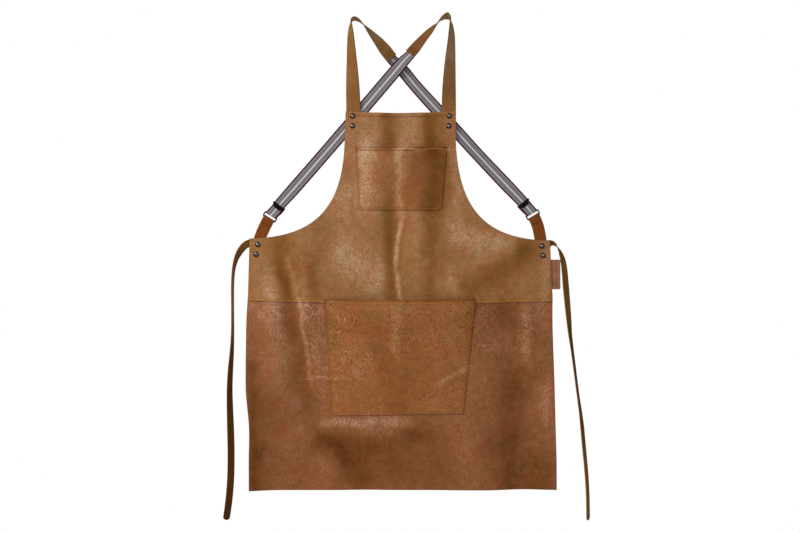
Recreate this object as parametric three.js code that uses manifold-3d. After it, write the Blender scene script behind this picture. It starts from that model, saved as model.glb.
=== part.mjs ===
// Leather apron, hung by its shoulder loops. Millimetres, +Z up, the front faces -Y.
// The origin lies midway between the two shoulder loops, where the apron hangs.
import * as THREE from 'three';
import { mergeVertices } from 'three/addons/utils/BufferGeometryUtils.js';
import Module from 'manifold-3d';

const wasm = await Module();
wasm.setup();

// Leather and webbing
const hideThick = 1.8;
const strapThick = 2.0;
const strapWidth = 30;
const tabThick = 1.8;
const tabWidth = 25;
const tieThick = 2.0;
const tieWidth = 15.5;
const elasticThick = 1.5;
const elasticWidth = 27.2;
const elasticPinched = 25;
const labelThick = 2.0;
const seat = 0.4;
const clearance = 0.3;

// Metal fittings
const wire = 1.9;
const ringLeg = 2.8;
const ringWindow = { wide: 25.6, tall: 8.1, corner: 0.6 };
const wireBevel = 0.5;
const sliderPlate = { wide: 28.8, top: 4.8, bar: 3.6, tongue: 19, tip: 15.2, drop: 5.2, thick: 1.6 };
const sliderPost = 1.6;
const sliderReach = sliderPlate.top + 2;
const rivet = { dome: 5.7, rise: 3.3, rim: 0.8, shank: 1.9, back: 4.4, backThick: 1.2, sides: 12 };
const rivetHole = { radius: 2.4, sides: 12 };
const domeCurve = [
  { out: 0, up: 1 },
  { out: 0.45, up: 0.93 },
  { out: 0.82, up: 0.66 },
];

// Hides: heights of the main lines and the cut of the two panels
const bibTop = { left: -114, right: 117, z: -193.5, sag: 8.5 };
const armholeStartZ = -254;
const armhole = {
  left: { x: -116.3, pull: [-119, -398], lean: [-180, -459.3] },
  right: { x: 117.1, pull: [122.5, -390], lean: [170.5, -464] },
};
const waistCorner = { left: [-316, -461], right: [315, -465.2] };
const waistSeam = { left: [-319.5, -591.5], right: [320.8, -593], sag: 11 };
const skirtLap = 14;
const hemZ = -989.8;
const skirtEdges = [
  { z: -640, left: -323, right: 320.6 },
  { z: -770, left: -323, right: 325 },
  { z: -860, left: -315.6, right: 327.4 },
  { z: -925, left: -316.3, right: 329.2 },
];
const hemCorner = { left: -316, right: 329.6 };

// Pockets: mouth and foot of each patch, and how far its mouth stands open
const chestPocketCut = {
  mouth: [-93.7, 98.7],
  mouthZ: -268.5,
  sag: 4,
  foot: [-87.4, 86.2],
  footZ: [-402, -402],
};
const skirtPocketCut = {
  mouth: [-158.6, 158.6],
  mouthZ: -588,
  sag: 4,
  foot: [-143, 132.5],
  footZ: [-833, -829],
};
const chestPocketBelly = 12;
const skirtPocketBelly = 14;
const pocketCorner = 5;
const lapRamp = { high: -600, low: -655 };

// Label at the right edge
const labelCut = { left: 303, right: 337, top: -505.5, foot: -568, corner: 3 };

// Folds: a roll from one end to the other, its spread and how far it lifts towards the front
const folds = [
  { x0: -50, z0: -180, x1: -53, z1: -405, spread: 19, lift: 4.5 },
  { x0: 44, z0: -180, x1: 43, z1: -430, spread: 23, lift: 5 },
  { x0: -18, z0: -430, x1: -20, z1: -585, spread: 12, lift: -4.5 },
  { x0: 38, z0: -445, x1: 40, z1: -585, spread: 17, lift: 3.5 },
  { x0: -258, z0: -525, x1: -262, z1: -600, spread: 20, lift: 4 },
  { x0: -200, z0: -520, x1: -206, z1: -600, spread: 15, lift: 3.5 },
  { x0: 240, z0: -478, x1: 130, z1: -556, spread: 22, lift: 5 },
  { x0: -229, z0: -612, x1: -195, z1: -785, spread: 17, lift: -6 },
  { x0: -195, z0: -785, x1: -80, z1: -960, spread: 24, lift: -6 },
  { x0: -262, z0: -620, x1: -256, z1: -760, spread: 22, lift: 5 },
  { x0: -150, z0: -858, x1: 15, z1: -852, spread: 22, lift: 5 },
  { x0: 232, z0: -620, x1: 236, z1: -770, spread: 22, lift: -5 },
  { x0: 262, z0: -800, x1: 262, z1: -1010, spread: 30, lift: -11 },
  { x0: 150, z0: -900, x1: 160, z1: -1010, spread: 40, lift: 6 },
  { x0: -325, z0: -800, x1: -325, z1: -1010, spread: 30, lift: 17 },
];
const foldFade = 42;
const calmReach = 48;

// Rivets in pairs: place of each, and the layers that it clamps
const rivetPlaces = {
  bib_left_upper: { x: -99.5, z: -204.3, layers: 'strap' },
  bib_left_lower: { x: -99.9, z: -224.5, layers: 'strap' },
  bib_right_upper: { x: 103.3, z: -203.9, layers: 'strap' },
  bib_right_lower: { x: 102.1, z: -224.9, layers: 'strap' },
  waist_left_upper: { x: -298.6, z: -474, layers: 'tie' },
  waist_left_lower: { x: -302.2, z: -494.6, layers: 'tab' },
  waist_right_upper: { x: 297.8, z: -477, layers: 'tie' },
  waist_right_lower: { x: 300.3, z: -497.3, layers: 'tab' },
};

// Depths of the layers behind the hide at the rivets
const hideBack = hideThick / 2;
const strapDepth = hideBack + seat + strapThick / 2;
const tabDepth = hideBack + seat + tabThick / 2;
const tabReturnDepth = tabDepth + tabThick + seat;
const tieDepth = tabReturnDepth + tabThick / 2 + seat + tieThick / 2;
const layerBack = {
  strap: strapDepth + strapThick / 2,
  tab: tabReturnDepth + tabThick / 2,
  tie: tieDepth + tieThick / 2,
};

// Shoulder straps: tail behind the bib, up to the loop, over it and down to the elastic.
// turn is the angle of the strap's width out of the front plane.
const strapRoutes = {
  left: [
    { x: -98.3, y: strapDepth, z: -242, turn: 0 },
    { x: -98, y: strapDepth, z: -215, turn: 0 },
    { x: -97.9, y: strapDepth, z: -188, turn: 0 },
    { x: -98.7, y: 2.8, z: -159.6, turn: -11 },
    { x: -99.8, y: 3.5, z: -128, turn: -26 },
    { x: -101.5, y: 4.5, z: -86, turn: -45 },
    { x: -103, y: 5, z: -54.6, turn: -56 },
    { x: -103.9, y: 5.5, z: -31, turn: -65 },
    { x: -104.1, y: 6, z: -12, turn: -78 },
    { x: -102.6, y: 6.3, z: -2.6, turn: -91 },
    { x: -96.4, y: 6.6, z: 1.8, turn: -97 },
    { x: -87.4, y: 7, z: -1.4, turn: -93 },
    { x: -74.6, y: 7.8, z: -12.6, turn: -82 },
    { x: -60.7, y: 8.8, z: -28.2, turn: -64 },
    { x: -44.6, y: 9.8, z: -46.4, turn: -45 },
    { x: -30.5, y: 10.6, z: -64.4, turn: -29 },
    { x: -17.4, y: 11.5, z: -80.9, turn: -32 },
  ],
  right: [
    { x: 102.7, y: strapDepth, z: -242, turn: 0 },
    { x: 102.7, y: strapDepth, z: -215, turn: 0 },
    { x: 102.7, y: strapDepth, z: -188, turn: 0 },
    { x: 102.9, y: 2.8, z: -159.6, turn: 13 },
    { x: 103.8, y: 3.4, z: -128, turn: 26 },
    { x: 105.8, y: 4, z: -86, turn: 43 },
    { x: 107.8, y: 4.5, z: -54.6, turn: 55.5 },
    { x: 108.7, y: 5, z: -31, turn: 64 },
    { x: 107.8, y: 5.3, z: -9, turn: 77 },
    { x: 105.4, y: 5.5, z: 2.2, turn: 94 },
    { x: 99.8, y: 5.7, z: 6.8, turn: 111 },
    { x: 90, y: 5.8, z: 3.4, turn: 97 },
    { x: 77.4, y: 5.7, z: -8.4, turn: 82 },
    { x: 62.8, y: 5.4, z: -24.4, turn: 62 },
    { x: 48, y: 5, z: -41, turn: 52 },
    { x: 34.2, y: 4.6, z: -57.6, turn: 41 },
    { x: 21.5, y: 4.2, z: -72.2, turn: 39 },
  ],
};

// Elastic straps from the end of the leather to just above the slider.
// The right shoulder's elastic runs to the left waist and lies in front where the two cross.
const elasticRoutes = {
  left: [
    { x: 8, y: 4, z: -87.8, turn: 24 },
    { x: -6, y: 3.8, z: -104.2, turn: 8 },
    { x: -31.5, y: 4.6, z: -134, turn: 0 },
    { x: -99.5, y: 7.4, z: -213.3, turn: 0 },
    { x: -168, y: 6.6, z: -293, turn: 0 },
    { x: -222, y: 3.4, z: -355.4, turn: 0 },
  ],
  right: [
    { x: -4.5, y: 13.2, z: -95.3, turn: -22 },
    { x: 10.5, y: 13.2, z: -112, turn: -10 },
    { x: 30.5, y: 11.4, z: -137, turn: -14 },
    { x: 97.5, y: 7.6, z: -211.5, turn: 0 },
    { x: 164, y: 6.6, z: -285, turn: -12 },
    { x: 225.5, y: 3.4, z: -350.5, turn: 0 },
  ],
};

// Fittings at the waist: centre of each, and the slope of its long side
const fittings = {
  left: {
    slider: { x: -256.3, z: -395, slope: -37 },
    ring: { x: -273.2, z: -415.6, slope: -32 },
  },
  right: {
    slider: { x: 261.4, z: -389, slope: 40 },
    ring: { x: 279.2, z: -411.3, slope: 31 },
  },
};
const ringDepth = 3.5;
const elasticWrap = wire / 2 + seat + elasticThick / 2;
const tabWrap = wire / 2 + seat + tabThick / 2;
const sliderDepth = ringDepth - elasticWrap;
const barOffset = ringWindow.tall / 2 + wire / 2;

// Waist tabs: from the tail behind the waist corner up towards the ring
const tabRoutes = {
  left: [
    { x: -303.8, z: -502 },
    { x: -302, z: -493 },
    { x: -298.4, z: -474 },
    { x: -292.4, z: -455 },
    { x: -285, z: -438 },
  ],
  right: [
    { x: 301.2, z: -503.5 },
    { x: 300, z: -495 },
    { x: 297.4, z: -477 },
    { x: 294.2, z: -456 },
    { x: 290, z: -436 },
  ],
};
const tabSpread = 1.0;

// Ties: tail behind the waist corner, out past the edge and down to the free end
const tieRoutes = {
  left: [
    { x: -279, y: tieDepth, z: -480, turn: 0 },
    { x: -298.6, y: tieDepth, z: -474, turn: 0 },
    { x: -312.8, y: tieDepth, z: -470, turn: -2 },
    { x: -325.3, y: 8, z: -475, turn: -12 },
    { x: -336.2, y: 9, z: -487, turn: -34 },
    { x: -344.4, y: 9.6, z: -502.5, turn: -57 },
    { x: -349.4, y: 10, z: -520, turn: -70 },
    { x: -351.9, y: 10, z: -541, turn: -75 },
    { x: -352.8, y: 10, z: -568, turn: -76 },
    { x: -352.6, y: 9.8, z: -612, turn: -78 },
    { x: -352.6, y: 9.4, z: -661, turn: -75 },
    { x: -354.2, y: 9, z: -699, turn: -66 },
    { x: -357, y: 8.6, z: -737, turn: -54 },
    { x: -358.7, y: 8.2, z: -779, turn: -47 },
    { x: -358, y: 7.8, z: -821, turn: -38 },
    { x: -356.6, y: 7.4, z: -863, turn: -28 },
    { x: -355.6, y: 7, z: -905, turn: -26 },
    { x: -355.6, y: 6.6, z: -939, turn: -25 },
    { x: -356.6, y: 6.2, z: -972, turn: -24 },
    { x: -359.2, y: 5.8, z: -1004, turn: -24 },
    { x: -362.4, y: 5.4, z: -1031, turn: -27 },
    { x: -365.8, y: 5, z: -1053, turn: -30 },
  ],
  right: [
    { x: 279, y: tieDepth, z: -483, turn: 0 },
    { x: 297.8, y: tieDepth, z: -477, turn: 0 },
    { x: 312.4, y: tieDepth, z: -472.3, turn: 0 },
    { x: 322.8, y: 8.4, z: -472, turn: 62 },
    { x: 332.6, y: 9.6, z: -481.3, turn: 100 },
    { x: 339.4, y: 10, z: -494.6, turn: 126 },
    { x: 344, y: 10, z: -510.3, turn: 140 },
    { x: 346.9, y: 10, z: -531, turn: 147 },
    { x: 349.2, y: 10, z: -558.6, turn: 150 },
    { x: 352, y: 9.8, z: -590, turn: 148 },
    { x: 355, y: 9.6, z: -624, turn: 140 },
    { x: 358.3, y: 9.4, z: -661.5, turn: 124 },
    { x: 362.7, y: 9.2, z: -695, turn: 115 },
    { x: 367.1, y: 9, z: -728.7, turn: 113 },
    { x: 371.3, y: 8.8, z: -762.3, turn: 112 },
    { x: 375.7, y: 8.6, z: -796, turn: 113 },
    { x: 380.1, y: 8.4, z: -827.4, turn: 118 },
    { x: 383.7, y: 8.2, z: -859, turn: 124 },
    { x: 386.9, y: 8, z: -894.6, turn: 124 },
    { x: 390.3, y: 7.8, z: -930.3, turn: 123 },
    { x: 393.1, y: 7.6, z: -964, turn: 123 },
    { x: 394.9, y: 7.4, z: -995.4, turn: 122 },
    { x: 395.7, y: 7.2, z: -1027, turn: 122 },
    { x: 395.9, y: 7, z: -1054, turn: 122 },
  ],
};
const tieEndRound = [0.8, 0.35];

// Every panel is cut from one draped hide, so layers that lie on each other share its grid
const grid = { x: 24, z: 32, shiftX: 7, shiftZ: 5, margin: 0.2 };
const cutDepth = 200;
const curveSteps = { panel: 14, patch: 5, label: 2, fitting: 3 };
const bandSteps = { strap: 3, elastic: 2, tab: 2, tie: 2 };
const wrapStep = 30;

const leather = {
  bib: { color: 0x9a7047, roughness: 0.55 },
  skirt: { color: 0x84552f, roughness: 0.5 },
  strap: { color: 0x8a5e34, roughness: 0.6 },
  tab: { color: 0x8a5428, roughness: 0.8 },
  tie: { color: 0x6d4622, roughness: 0.7 },
  label: { color: 0x7a4a38, roughness: 0.6 },
};
const webbing = { color: 0x77757a, roughness: 0.9 };
const blackSteel = { color: 0x1a1a1c, roughness: 0.4, metalness: 0.6 };
const gunmetal = { color: 0x3b3430, roughness: 0.25, metalness: 0.9 };

const apron = new THREE.Group();

function addPiece(name, geometry, finish) {
  const material = new THREE.MeshStandardMaterial({ metalness: 0, ...finish });
  const piece = new THREE.Mesh(geometry, material);
  piece.name = name;
  apron.add(piece);
  return piece;
}

// Joins and cuts

function solidOf(geometry) {
  const plain = geometry.clone();
  plain.deleteAttribute('normal');
  plain.deleteAttribute('uv');
  const merged = mergeVertices(plain, 1e-4);
  const vertProperties = new Float32Array(merged.attributes.position.array);
  const triVerts = new Uint32Array(merged.index.array);
  return new wasm.Manifold(new wasm.Mesh({ numProp: 3, vertProperties, triVerts }));
}

function geometryOf(solid) {
  const mesh = solid.getMesh();
  const geometry = new THREE.BufferGeometry();
  geometry.setAttribute('position', new THREE.BufferAttribute(mesh.vertProperties, 3));
  geometry.setIndex(new THREE.BufferAttribute(mesh.triVerts, 1));
  geometry.computeVertexNormals();
  return geometry;
}

function pierced(geometry, names) {
  let solid = solidOf(geometry);
  for (const name of names) {
    const { x, z } = rivetPlaces[name];
    const drill = new THREE.CylinderGeometry(rivetHole.radius, rivetHole.radius, cutDepth, rivetHole.sides);
    drill.translate(x, 0, z);
    solid = solid.subtract(solidOf(drill));
  }
  return geometryOf(solid);
}

// The draped hide

function smooth(from, to, value) {
  return THREE.MathUtils.smoothstep(value, from, to);
}

function foldLift(x, z) {
  let lift = 0;
  for (const fold of folds) {
    const alongX = fold.x1 - fold.x0;
    const alongZ = fold.z1 - fold.z0;
    const length = Math.hypot(alongX, alongZ);
    const run = ((x - fold.x0) * alongX + (z - fold.z0) * alongZ) / length;
    const off = ((x - fold.x0) * alongZ - (z - fold.z0) * alongX) / length;
    const past = Math.max(-run, run - length, 0);
    lift += fold.lift * Math.exp(-((off / fold.spread) ** 2) / 2 - ((past / foldFade) ** 2) / 2);
  }
  return lift;
}

// The hide lies flat round the rivets
function calm(x, z) {
  let factor = 1;
  for (const place of Object.values(rivetPlaces)) {
    const reach = Math.hypot(x - place.x, z - place.z) / calmReach;
    factor *= 1 - Math.exp(-(reach ** 4));
  }
  return factor;
}

function hideDepth(x, z) {
  return -foldLift(x, z) * calm(x, z);
}

// A wavy slab over the box of an outline, cut to that outline
function cutFromHide(outline, steps, thickness, depthAt) {
  const box = new THREE.Box2().setFromPoints(outline.getPoints(steps));
  const firstX = Math.floor((box.min.x - grid.shiftX) / grid.x - grid.margin);
  const lastX = Math.ceil((box.max.x - grid.shiftX) / grid.x + grid.margin);
  const firstZ = Math.floor((box.min.y - grid.shiftZ) / grid.z - grid.margin);
  const lastZ = Math.ceil((box.max.y - grid.shiftZ) / grid.z + grid.margin);
  const across = lastX - firstX;
  const down = lastZ - firstZ;
  const points = [];
  for (const side of [-1, 1]) {
    for (let row = 0; row <= down; row += 1) {
      for (let column = 0; column <= across; column += 1) {
        const x = (firstX + column) * grid.x + grid.shiftX;
        const z = (firstZ + row) * grid.z + grid.shiftZ;
        points.push(x, depthAt(x, z) + (side * thickness) / 2, z);
      }
    }
  }
  const sheet = (down + 1) * (across + 1);
  const at = (side, row, column) => side * sheet + row * (across + 1) + column;
  const faces = [];
  const quad = (a, b, c, d) => faces.push(a, b, c, a, c, d);
  for (let row = 0; row < down; row += 1) {
    for (let column = 0; column < across; column += 1) {
      const corners = (side) => [
        at(side, row, column),
        at(side, row, column + 1),
        at(side, row + 1, column + 1),
        at(side, row + 1, column),
      ];
      quad(...corners(0));
      const [a, b, c, d] = corners(1);
      faces.push(a, c, b, a, d, c);
    }
  }
  for (let column = 0; column < across; column += 1) {
    quad(at(0, 0, column), at(1, 0, column), at(1, 0, column + 1), at(0, 0, column + 1));
    quad(at(0, down, column + 1), at(1, down, column + 1), at(1, down, column), at(0, down, column));
  }
  for (let row = 0; row < down; row += 1) {
    quad(at(0, row + 1, 0), at(1, row + 1, 0), at(1, row, 0), at(0, row, 0));
    quad(at(0, row, across), at(1, row, across), at(1, row + 1, across), at(0, row + 1, across));
  }
  const slab = new THREE.BufferGeometry();
  slab.setAttribute('position', new THREE.Float32BufferAttribute(points, 3));
  slab.setIndex(faces);
  const cutter = new THREE.ExtrudeGeometry(outline, {
    depth: cutDepth,
    bevelEnabled: false,
    curveSegments: steps,
  });
  cutter.rotateX(Math.PI / 2);
  cutter.translate(0, cutDepth / 2, 0);
  return geometryOf(solidOf(slab).intersect(solidOf(cutter)));
}

// Outlines, drawn in the front plane

function seamSag(from, to, sag) {
  return [(from[0] + to[0]) / 2, (from[1] + to[1]) / 2 - sag];
}

function bibOutline() {
  const { left, right } = armhole;
  const outline = new THREE.Shape();
  outline.moveTo(bibTop.left, bibTop.z);
  outline.lineTo(left.x, armholeStartZ);
  outline.bezierCurveTo(...left.pull, ...left.lean, ...waistCorner.left);
  outline.lineTo(...waistSeam.left);
  outline.quadraticCurveTo(...seamSag(waistSeam.left, waistSeam.right, waistSeam.sag), ...waistSeam.right);
  outline.lineTo(...waistCorner.right);
  outline.bezierCurveTo(...right.lean, ...right.pull, right.x, armholeStartZ);
  outline.lineTo(bibTop.right, bibTop.z);
  outline.quadraticCurveTo((bibTop.left + bibTop.right) / 2, bibTop.z - bibTop.sag, bibTop.left, bibTop.z);
  return outline;
}

function skirtOutline() {
  const topLeft = [waistSeam.left[0], waistSeam.left[1] + skirtLap];
  const topRight = [waistSeam.right[0], waistSeam.right[1] + skirtLap];
  const leftEdge = skirtEdges.map(({ z, left }) => new THREE.Vector2(left, z));
  const rightEdge = skirtEdges.map(({ z, right }) => new THREE.Vector2(right, z)).reverse();
  const outline = new THREE.Shape();
  outline.moveTo(...topLeft);
  outline.splineThru([...leftEdge, new THREE.Vector2(hemCorner.left, hemZ)]);
  outline.lineTo(hemCorner.right, hemZ);
  outline.splineThru([...rightEdge, new THREE.Vector2(...topRight)]);
  outline.quadraticCurveTo(...seamSag(topLeft, topRight, waistSeam.sag), ...topLeft);
  return outline;
}

function pocketOutline({ mouth, mouthZ, sag, foot, footZ }) {
  const outline = new THREE.Shape();
  outline.moveTo(mouth[0], mouthZ);
  outline.lineTo(foot[0], footZ[0] + pocketCorner);
  outline.quadraticCurveTo(foot[0], footZ[0], foot[0] + pocketCorner, footZ[0]);
  outline.lineTo(foot[1] - pocketCorner, footZ[1]);
  outline.quadraticCurveTo(foot[1], footZ[1], foot[1], footZ[1] + pocketCorner);
  outline.lineTo(mouth[1], mouthZ);
  outline.quadraticCurveTo((mouth[0] + mouth[1]) / 2, mouthZ - sag, mouth[0], mouthZ);
  return outline;
}

function roundedBox(left, foot, wide, tall, corner, Kind = THREE.Shape) {
  const right = left + wide;
  const top = foot + tall;
  const outline = new Kind();
  outline.moveTo(left + corner, foot);
  outline.lineTo(right - corner, foot);
  outline.quadraticCurveTo(right, foot, right, foot + corner);
  outline.lineTo(right, top - corner);
  outline.quadraticCurveTo(right, top, right - corner, top);
  outline.lineTo(left + corner, top);
  outline.quadraticCurveTo(left, top, left, top - corner);
  outline.lineTo(left, foot + corner);
  outline.quadraticCurveTo(left, foot, left + corner, foot);
  return outline;
}

// How free a pocket is: most at the middle of its mouth, not at all where it is sewn down, sides and foot
function pocketFreedom({ mouth, mouthZ, foot, footZ }, x, z) {
  const up = THREE.MathUtils.clamp((z - footZ[0]) / (mouthZ - footZ[0]), 0, 1);
  const left = THREE.MathUtils.lerp(foot[0], mouth[0], up);
  const right = THREE.MathUtils.lerp(foot[1], mouth[1], up);
  const side = THREE.MathUtils.clamp((2 * x - left - right) / (right - left), -1, 1);
  return (1 - side * side) * Math.sin((up * Math.PI) / 2);
}

// Straps

function stationsAlong(rows) {
  const points = rows.map(({ x, y, z }) => new THREE.Vector3(x, y, z));
  return points.map((point, index) => {
    const before = points[Math.max(index - 1, 0)];
    const after = points[Math.min(index + 1, points.length - 1)];
    const along = new THREE.Vector3().subVectors(after, before).normalize();
    const turn = THREE.MathUtils.degToRad(rows[index].turn);
    const flat = new THREE.Vector3(along.z, 0, -along.x).normalize();
    const across = flat.multiplyScalar(Math.cos(turn));
    across.y = Math.sin(turn);
    return { point, across, along };
  });
}

function shifted(station, offset) {
  const outward = new THREE.Vector3().crossVectors(station.across, station.along).normalize();
  const point = station.point.clone().addScaledVector(outward, offset);
  return { ...station, point };
}

// A flat band through its stations; a station may be narrower, and endShares narrow the last sections
function band(stations, width, thickness, steps, endShares = []) {
  const route = new THREE.CatmullRomCurve3(stations.map(({ point }) => point));
  const last = stations.length - 1;
  const points = [];
  const count = last * steps;
  for (let step = 0; step <= count; step += 1) {
    const at = step / count;
    const index = Math.min(Math.floor(at * last), last - 1);
    const part = at * last - index;
    const point = route.getPoint(at);
    const along = route.getTangent(at);
    const across = stations[index].across.clone().lerp(stations[index + 1].across, part);
    across.addScaledVector(along, -across.dot(along)).normalize();
    const outward = new THREE.Vector3().crossVectors(across, along);
    const fromEnd = count - step;
    const rounded = fromEnd < endShares.length ? endShares[endShares.length - 1 - fromEnd] : 1;
    const { share: shareBefore = 1 } = stations[index];
    const { share: shareAfter = 1 } = stations[index + 1];
    const share = rounded * THREE.MathUtils.lerp(shareBefore, shareAfter, part);
    for (const [side, face] of [[-1, -1], [1, -1], [1, 1], [-1, 1]]) {
      const corner = point.clone();
      corner.addScaledVector(across, (side * width * share) / 2);
      corner.addScaledVector(outward, (face * thickness) / 2);
      points.push(corner.x, corner.y, corner.z);
    }
  }
  const faces = [];
  for (let step = 0; step < count; step += 1) {
    for (let side = 0; side < 4; side += 1) {
      const a = step * 4 + side;
      const b = step * 4 + ((side + 1) % 4);
      if (side < 2) faces.push(a, a + 4, b + 4, a, b + 4, b);
      else faces.push(a, a + 4, b, b, a + 4, b + 4);
    }
  }
  const end = count * 4;
  faces.push(0, 1, 2, 0, 2, 3, end, end + 2, end + 1, end, end + 3, end + 2);
  const geometry = new THREE.BufferGeometry();
  geometry.setAttribute('position', new THREE.Float32BufferAttribute(points, 3));
  geometry.setIndex(faces);
  geometry.computeVertexNormals();
  return geometry;
}

// Stations of a half turn round a bar, from the front of it to the back
function wrapStations({ x, y, z }, radius, outwardX, outwardZ, across) {
  const stations = [];
  for (let angle = 0; angle <= 180; angle += wrapStep) {
    const turn = THREE.MathUtils.degToRad(angle);
    const reach = radius * Math.sin(turn);
    const point = new THREE.Vector3(x + reach * outwardX, y - radius * Math.cos(turn), z + reach * outwardZ);
    stations.push({ point, across });
  }
  return stations;
}

function sideAxes(slope) {
  const angle = THREE.MathUtils.degToRad(slope);
  const across = new THREE.Vector3(Math.cos(angle), 0, Math.sin(angle));
  const down = new THREE.Vector3(Math.sin(angle), 0, -Math.cos(angle));
  return { across, down };
}

function onAxis(place, axis, distance, y) {
  return new THREE.Vector3(place.x + axis.x * distance, y, place.z + axis.z * distance);
}

function shoulderStrap(side) {
  const geometry = band(stationsAlong(strapRoutes[side]), strapWidth, strapThick, bandSteps.strap);
  return pierced(geometry, [`bib_${side}_upper`, `bib_${side}_lower`]);
}

// The elastic starts under the end of the leather, passes the slider, loops round the ring's
// upper bar and comes back up behind itself to the slider. The fittings pinch it a little narrower.
function elasticStrap(side) {
  const shoulder = stationsAlong(strapRoutes[side === 'left' ? 'right' : 'left']);
  const under = -(strapThick / 2 + seat + elasticThick / 2);
  const start = shoulder.slice(-2).map((station) => shifted(station, under));
  const route = stationsAlong(elasticRoutes[side]);
  const { slider, ring } = fittings[side];
  const sliderAxes = sideAxes(slider.slope);
  const ringAxes = sideAxes(ring.slope);
  const backDepth = ringDepth + elasticWrap;
  const flipped = (axes) => axes.across.clone().negate();
  const past = [
    { point: onAxis(slider, sliderAxes.down, -sliderReach, sliderDepth), across: flipped(sliderAxes) },
    { point: onAxis(slider, sliderAxes.down, sliderReach, sliderDepth), across: flipped(sliderAxes) },
  ];
  const bar = onAxis(ring, ringAxes.down, -barOffset, ringDepth);
  const loop = wrapStations(bar, elasticWrap, ringAxes.down.x, ringAxes.down.z, flipped(ringAxes));
  const back = [
    { point: onAxis(slider, sliderAxes.down, sliderReach, backDepth), across: flipped(sliderAxes) },
    { point: onAxis(slider, sliderAxes.down, -sliderReach, backDepth), across: flipped(sliderAxes) },
  ];
  const pinched = [...past, ...loop, ...back].map((station) => (
    { ...station, share: elasticPinched / elasticWidth }
  ));
  return band([...start, ...route, ...pinched], elasticWidth, elasticThick, bandSteps.elastic);
}

// The tab runs up to the ring, round its lower bar and back down behind itself
function waistTab(side) {
  const { ring } = fittings[side];
  const { across, down } = sideAxes(ring.slope);
  const bar = onAxis(ring, down, barOffset, ringDepth);
  const rows = tabRoutes[side];
  const depthOf = (index, flat, open) => (index < rows.length - 1 ? flat : open);
  const front = rows.map(({ x, z }, index) => (
    { x, y: depthOf(index, tabDepth, tabDepth - tabSpread / 2), z, turn: 0 }
  ));
  const back = rows.map(({ x, z }, index) => (
    { x, y: depthOf(index, tabReturnDepth, tabReturnDepth + tabSpread), z, turn: 0 }
  ));
  const up = stationsAlong(front);
  const loop = wrapStations(bar, tabWrap, -down.x, -down.z, across);
  const returning = stationsAlong(back).reverse();
  const geometry = band([...up, ...loop, ...returning], tabWidth, tabThick, bandSteps.tab);
  return pierced(geometry, [`waist_${side}_upper`, `waist_${side}_lower`]);
}

function waistTie(side) {
  const geometry = band(stationsAlong(tieRoutes[side]), tieWidth, tieThick, bandSteps.tie, tieEndRound);
  return pierced(geometry, [`waist_${side}_upper`]);
}

// Metal fittings, made flat in the front plane about their own centre

function ringGeometry() {
  const { wide, tall, corner } = ringWindow;
  const left = -wide / 2 - ringLeg;
  const foot = -tall / 2 - wire;
  const outline = roundedBox(left, foot, wide + 2 * ringLeg, tall + 2 * wire, corner + wire);
  outline.holes.push(roundedBox(-wide / 2, -tall / 2, wide, tall, corner, THREE.Path));
  const geometry = new THREE.ExtrudeGeometry(outline, {
    depth: wire - 2 * wireBevel,
    bevelThickness: wireBevel,
    bevelSize: wireBevel,
    bevelOffset: -wireBevel,
    bevelSegments: 1,
    curveSegments: curveSteps.fitting,
  });
  geometry.rotateX(Math.PI / 2);
  geometry.translate(0, wire / 2 - wireBevel, 0);
  return geometry;
}

// A front bar with a tongue below it, over the elastic, and a bar behind carried by a post at each end
function sliderGeometry() {
  const { wide, top, bar, tongue, tip, drop, thick } = sliderPlate;
  const low = top - bar;
  const outline = new THREE.Shape();
  outline.moveTo(-wide / 2, top);
  outline.lineTo(-wide / 2, low);
  outline.lineTo(-tongue / 2, low);
  outline.lineTo(-tip / 2, low - drop);
  outline.lineTo(tip / 2, low - drop);
  outline.lineTo(tongue / 2, low);
  outline.lineTo(wide / 2, low);
  outline.lineTo(wide / 2, top);
  const plate = new THREE.ExtrudeGeometry(outline, { depth: thick, bevelEnabled: false });
  plate.rotateX(Math.PI / 2);
  const plateBack = -elasticThick / 2 - clearance;
  plate.translate(0, plateBack, 0);
  const barMiddle = top - bar / 2;
  const barFront = elasticThick / 2 + clearance;
  const barThick = 2 * elasticWrap - elasticThick - 2 * clearance;
  const backBar = new THREE.BoxGeometry(wide, barThick, sliderPost);
  backBar.translate(0, barFront + barThick / 2, barMiddle);
  let solid = solidOf(plate).add(solidOf(backBar));
  const postSpan = barFront + barThick - plateBack + thick / 2;
  for (const side of [-1, 1]) {
    const post = new THREE.BoxGeometry(sliderPost, postSpan, sliderPost);
    post.translate((side * (wide - sliderPost)) / 2, barFront + barThick - postSpan / 2, barMiddle);
    solid = solid.add(solidOf(post));
  }
  return geometryOf(solid);
}

// A dome on the front, a shank through the layers and a flat cap at the back
function rivetGeometry(layers) {
  const front = -hideThick / 2 - clearance;
  const back = layerBack[layers] + clearance;
  const profile = [
    ...domeCurve.map(({ out, up }) => [rivet.dome * out, front - rivet.rise * up]),
    [rivet.dome, front - rivet.rim],
    [rivet.dome, front],
    [rivet.shank, front],
    [rivet.shank, back],
    [rivet.back, back],
    [rivet.back, back + rivet.backThick],
    [0, back + rivet.backThick],
  ];
  return new THREE.LatheGeometry(profile.map(([radius, y]) => new THREE.Vector2(radius, y)), rivet.sides);
}

// Hides and pockets

const bibRivets = Object.keys(rivetPlaces);
const bibSheet = cutFromHide(bibOutline(), curveSteps.panel, hideThick, hideDepth);
addPiece('bib_panel', pierced(bibSheet, bibRivets), leather.bib);

const skirtOffset = hideThick + seat;
const skirtDepth = (x, z) => hideDepth(x, z) + skirtOffset;
const skirtSheet = cutFromHide(skirtOutline(), curveSteps.panel, hideThick, skirtDepth);
addPiece('skirt_panel', skirtSheet, leather.skirt);

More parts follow.
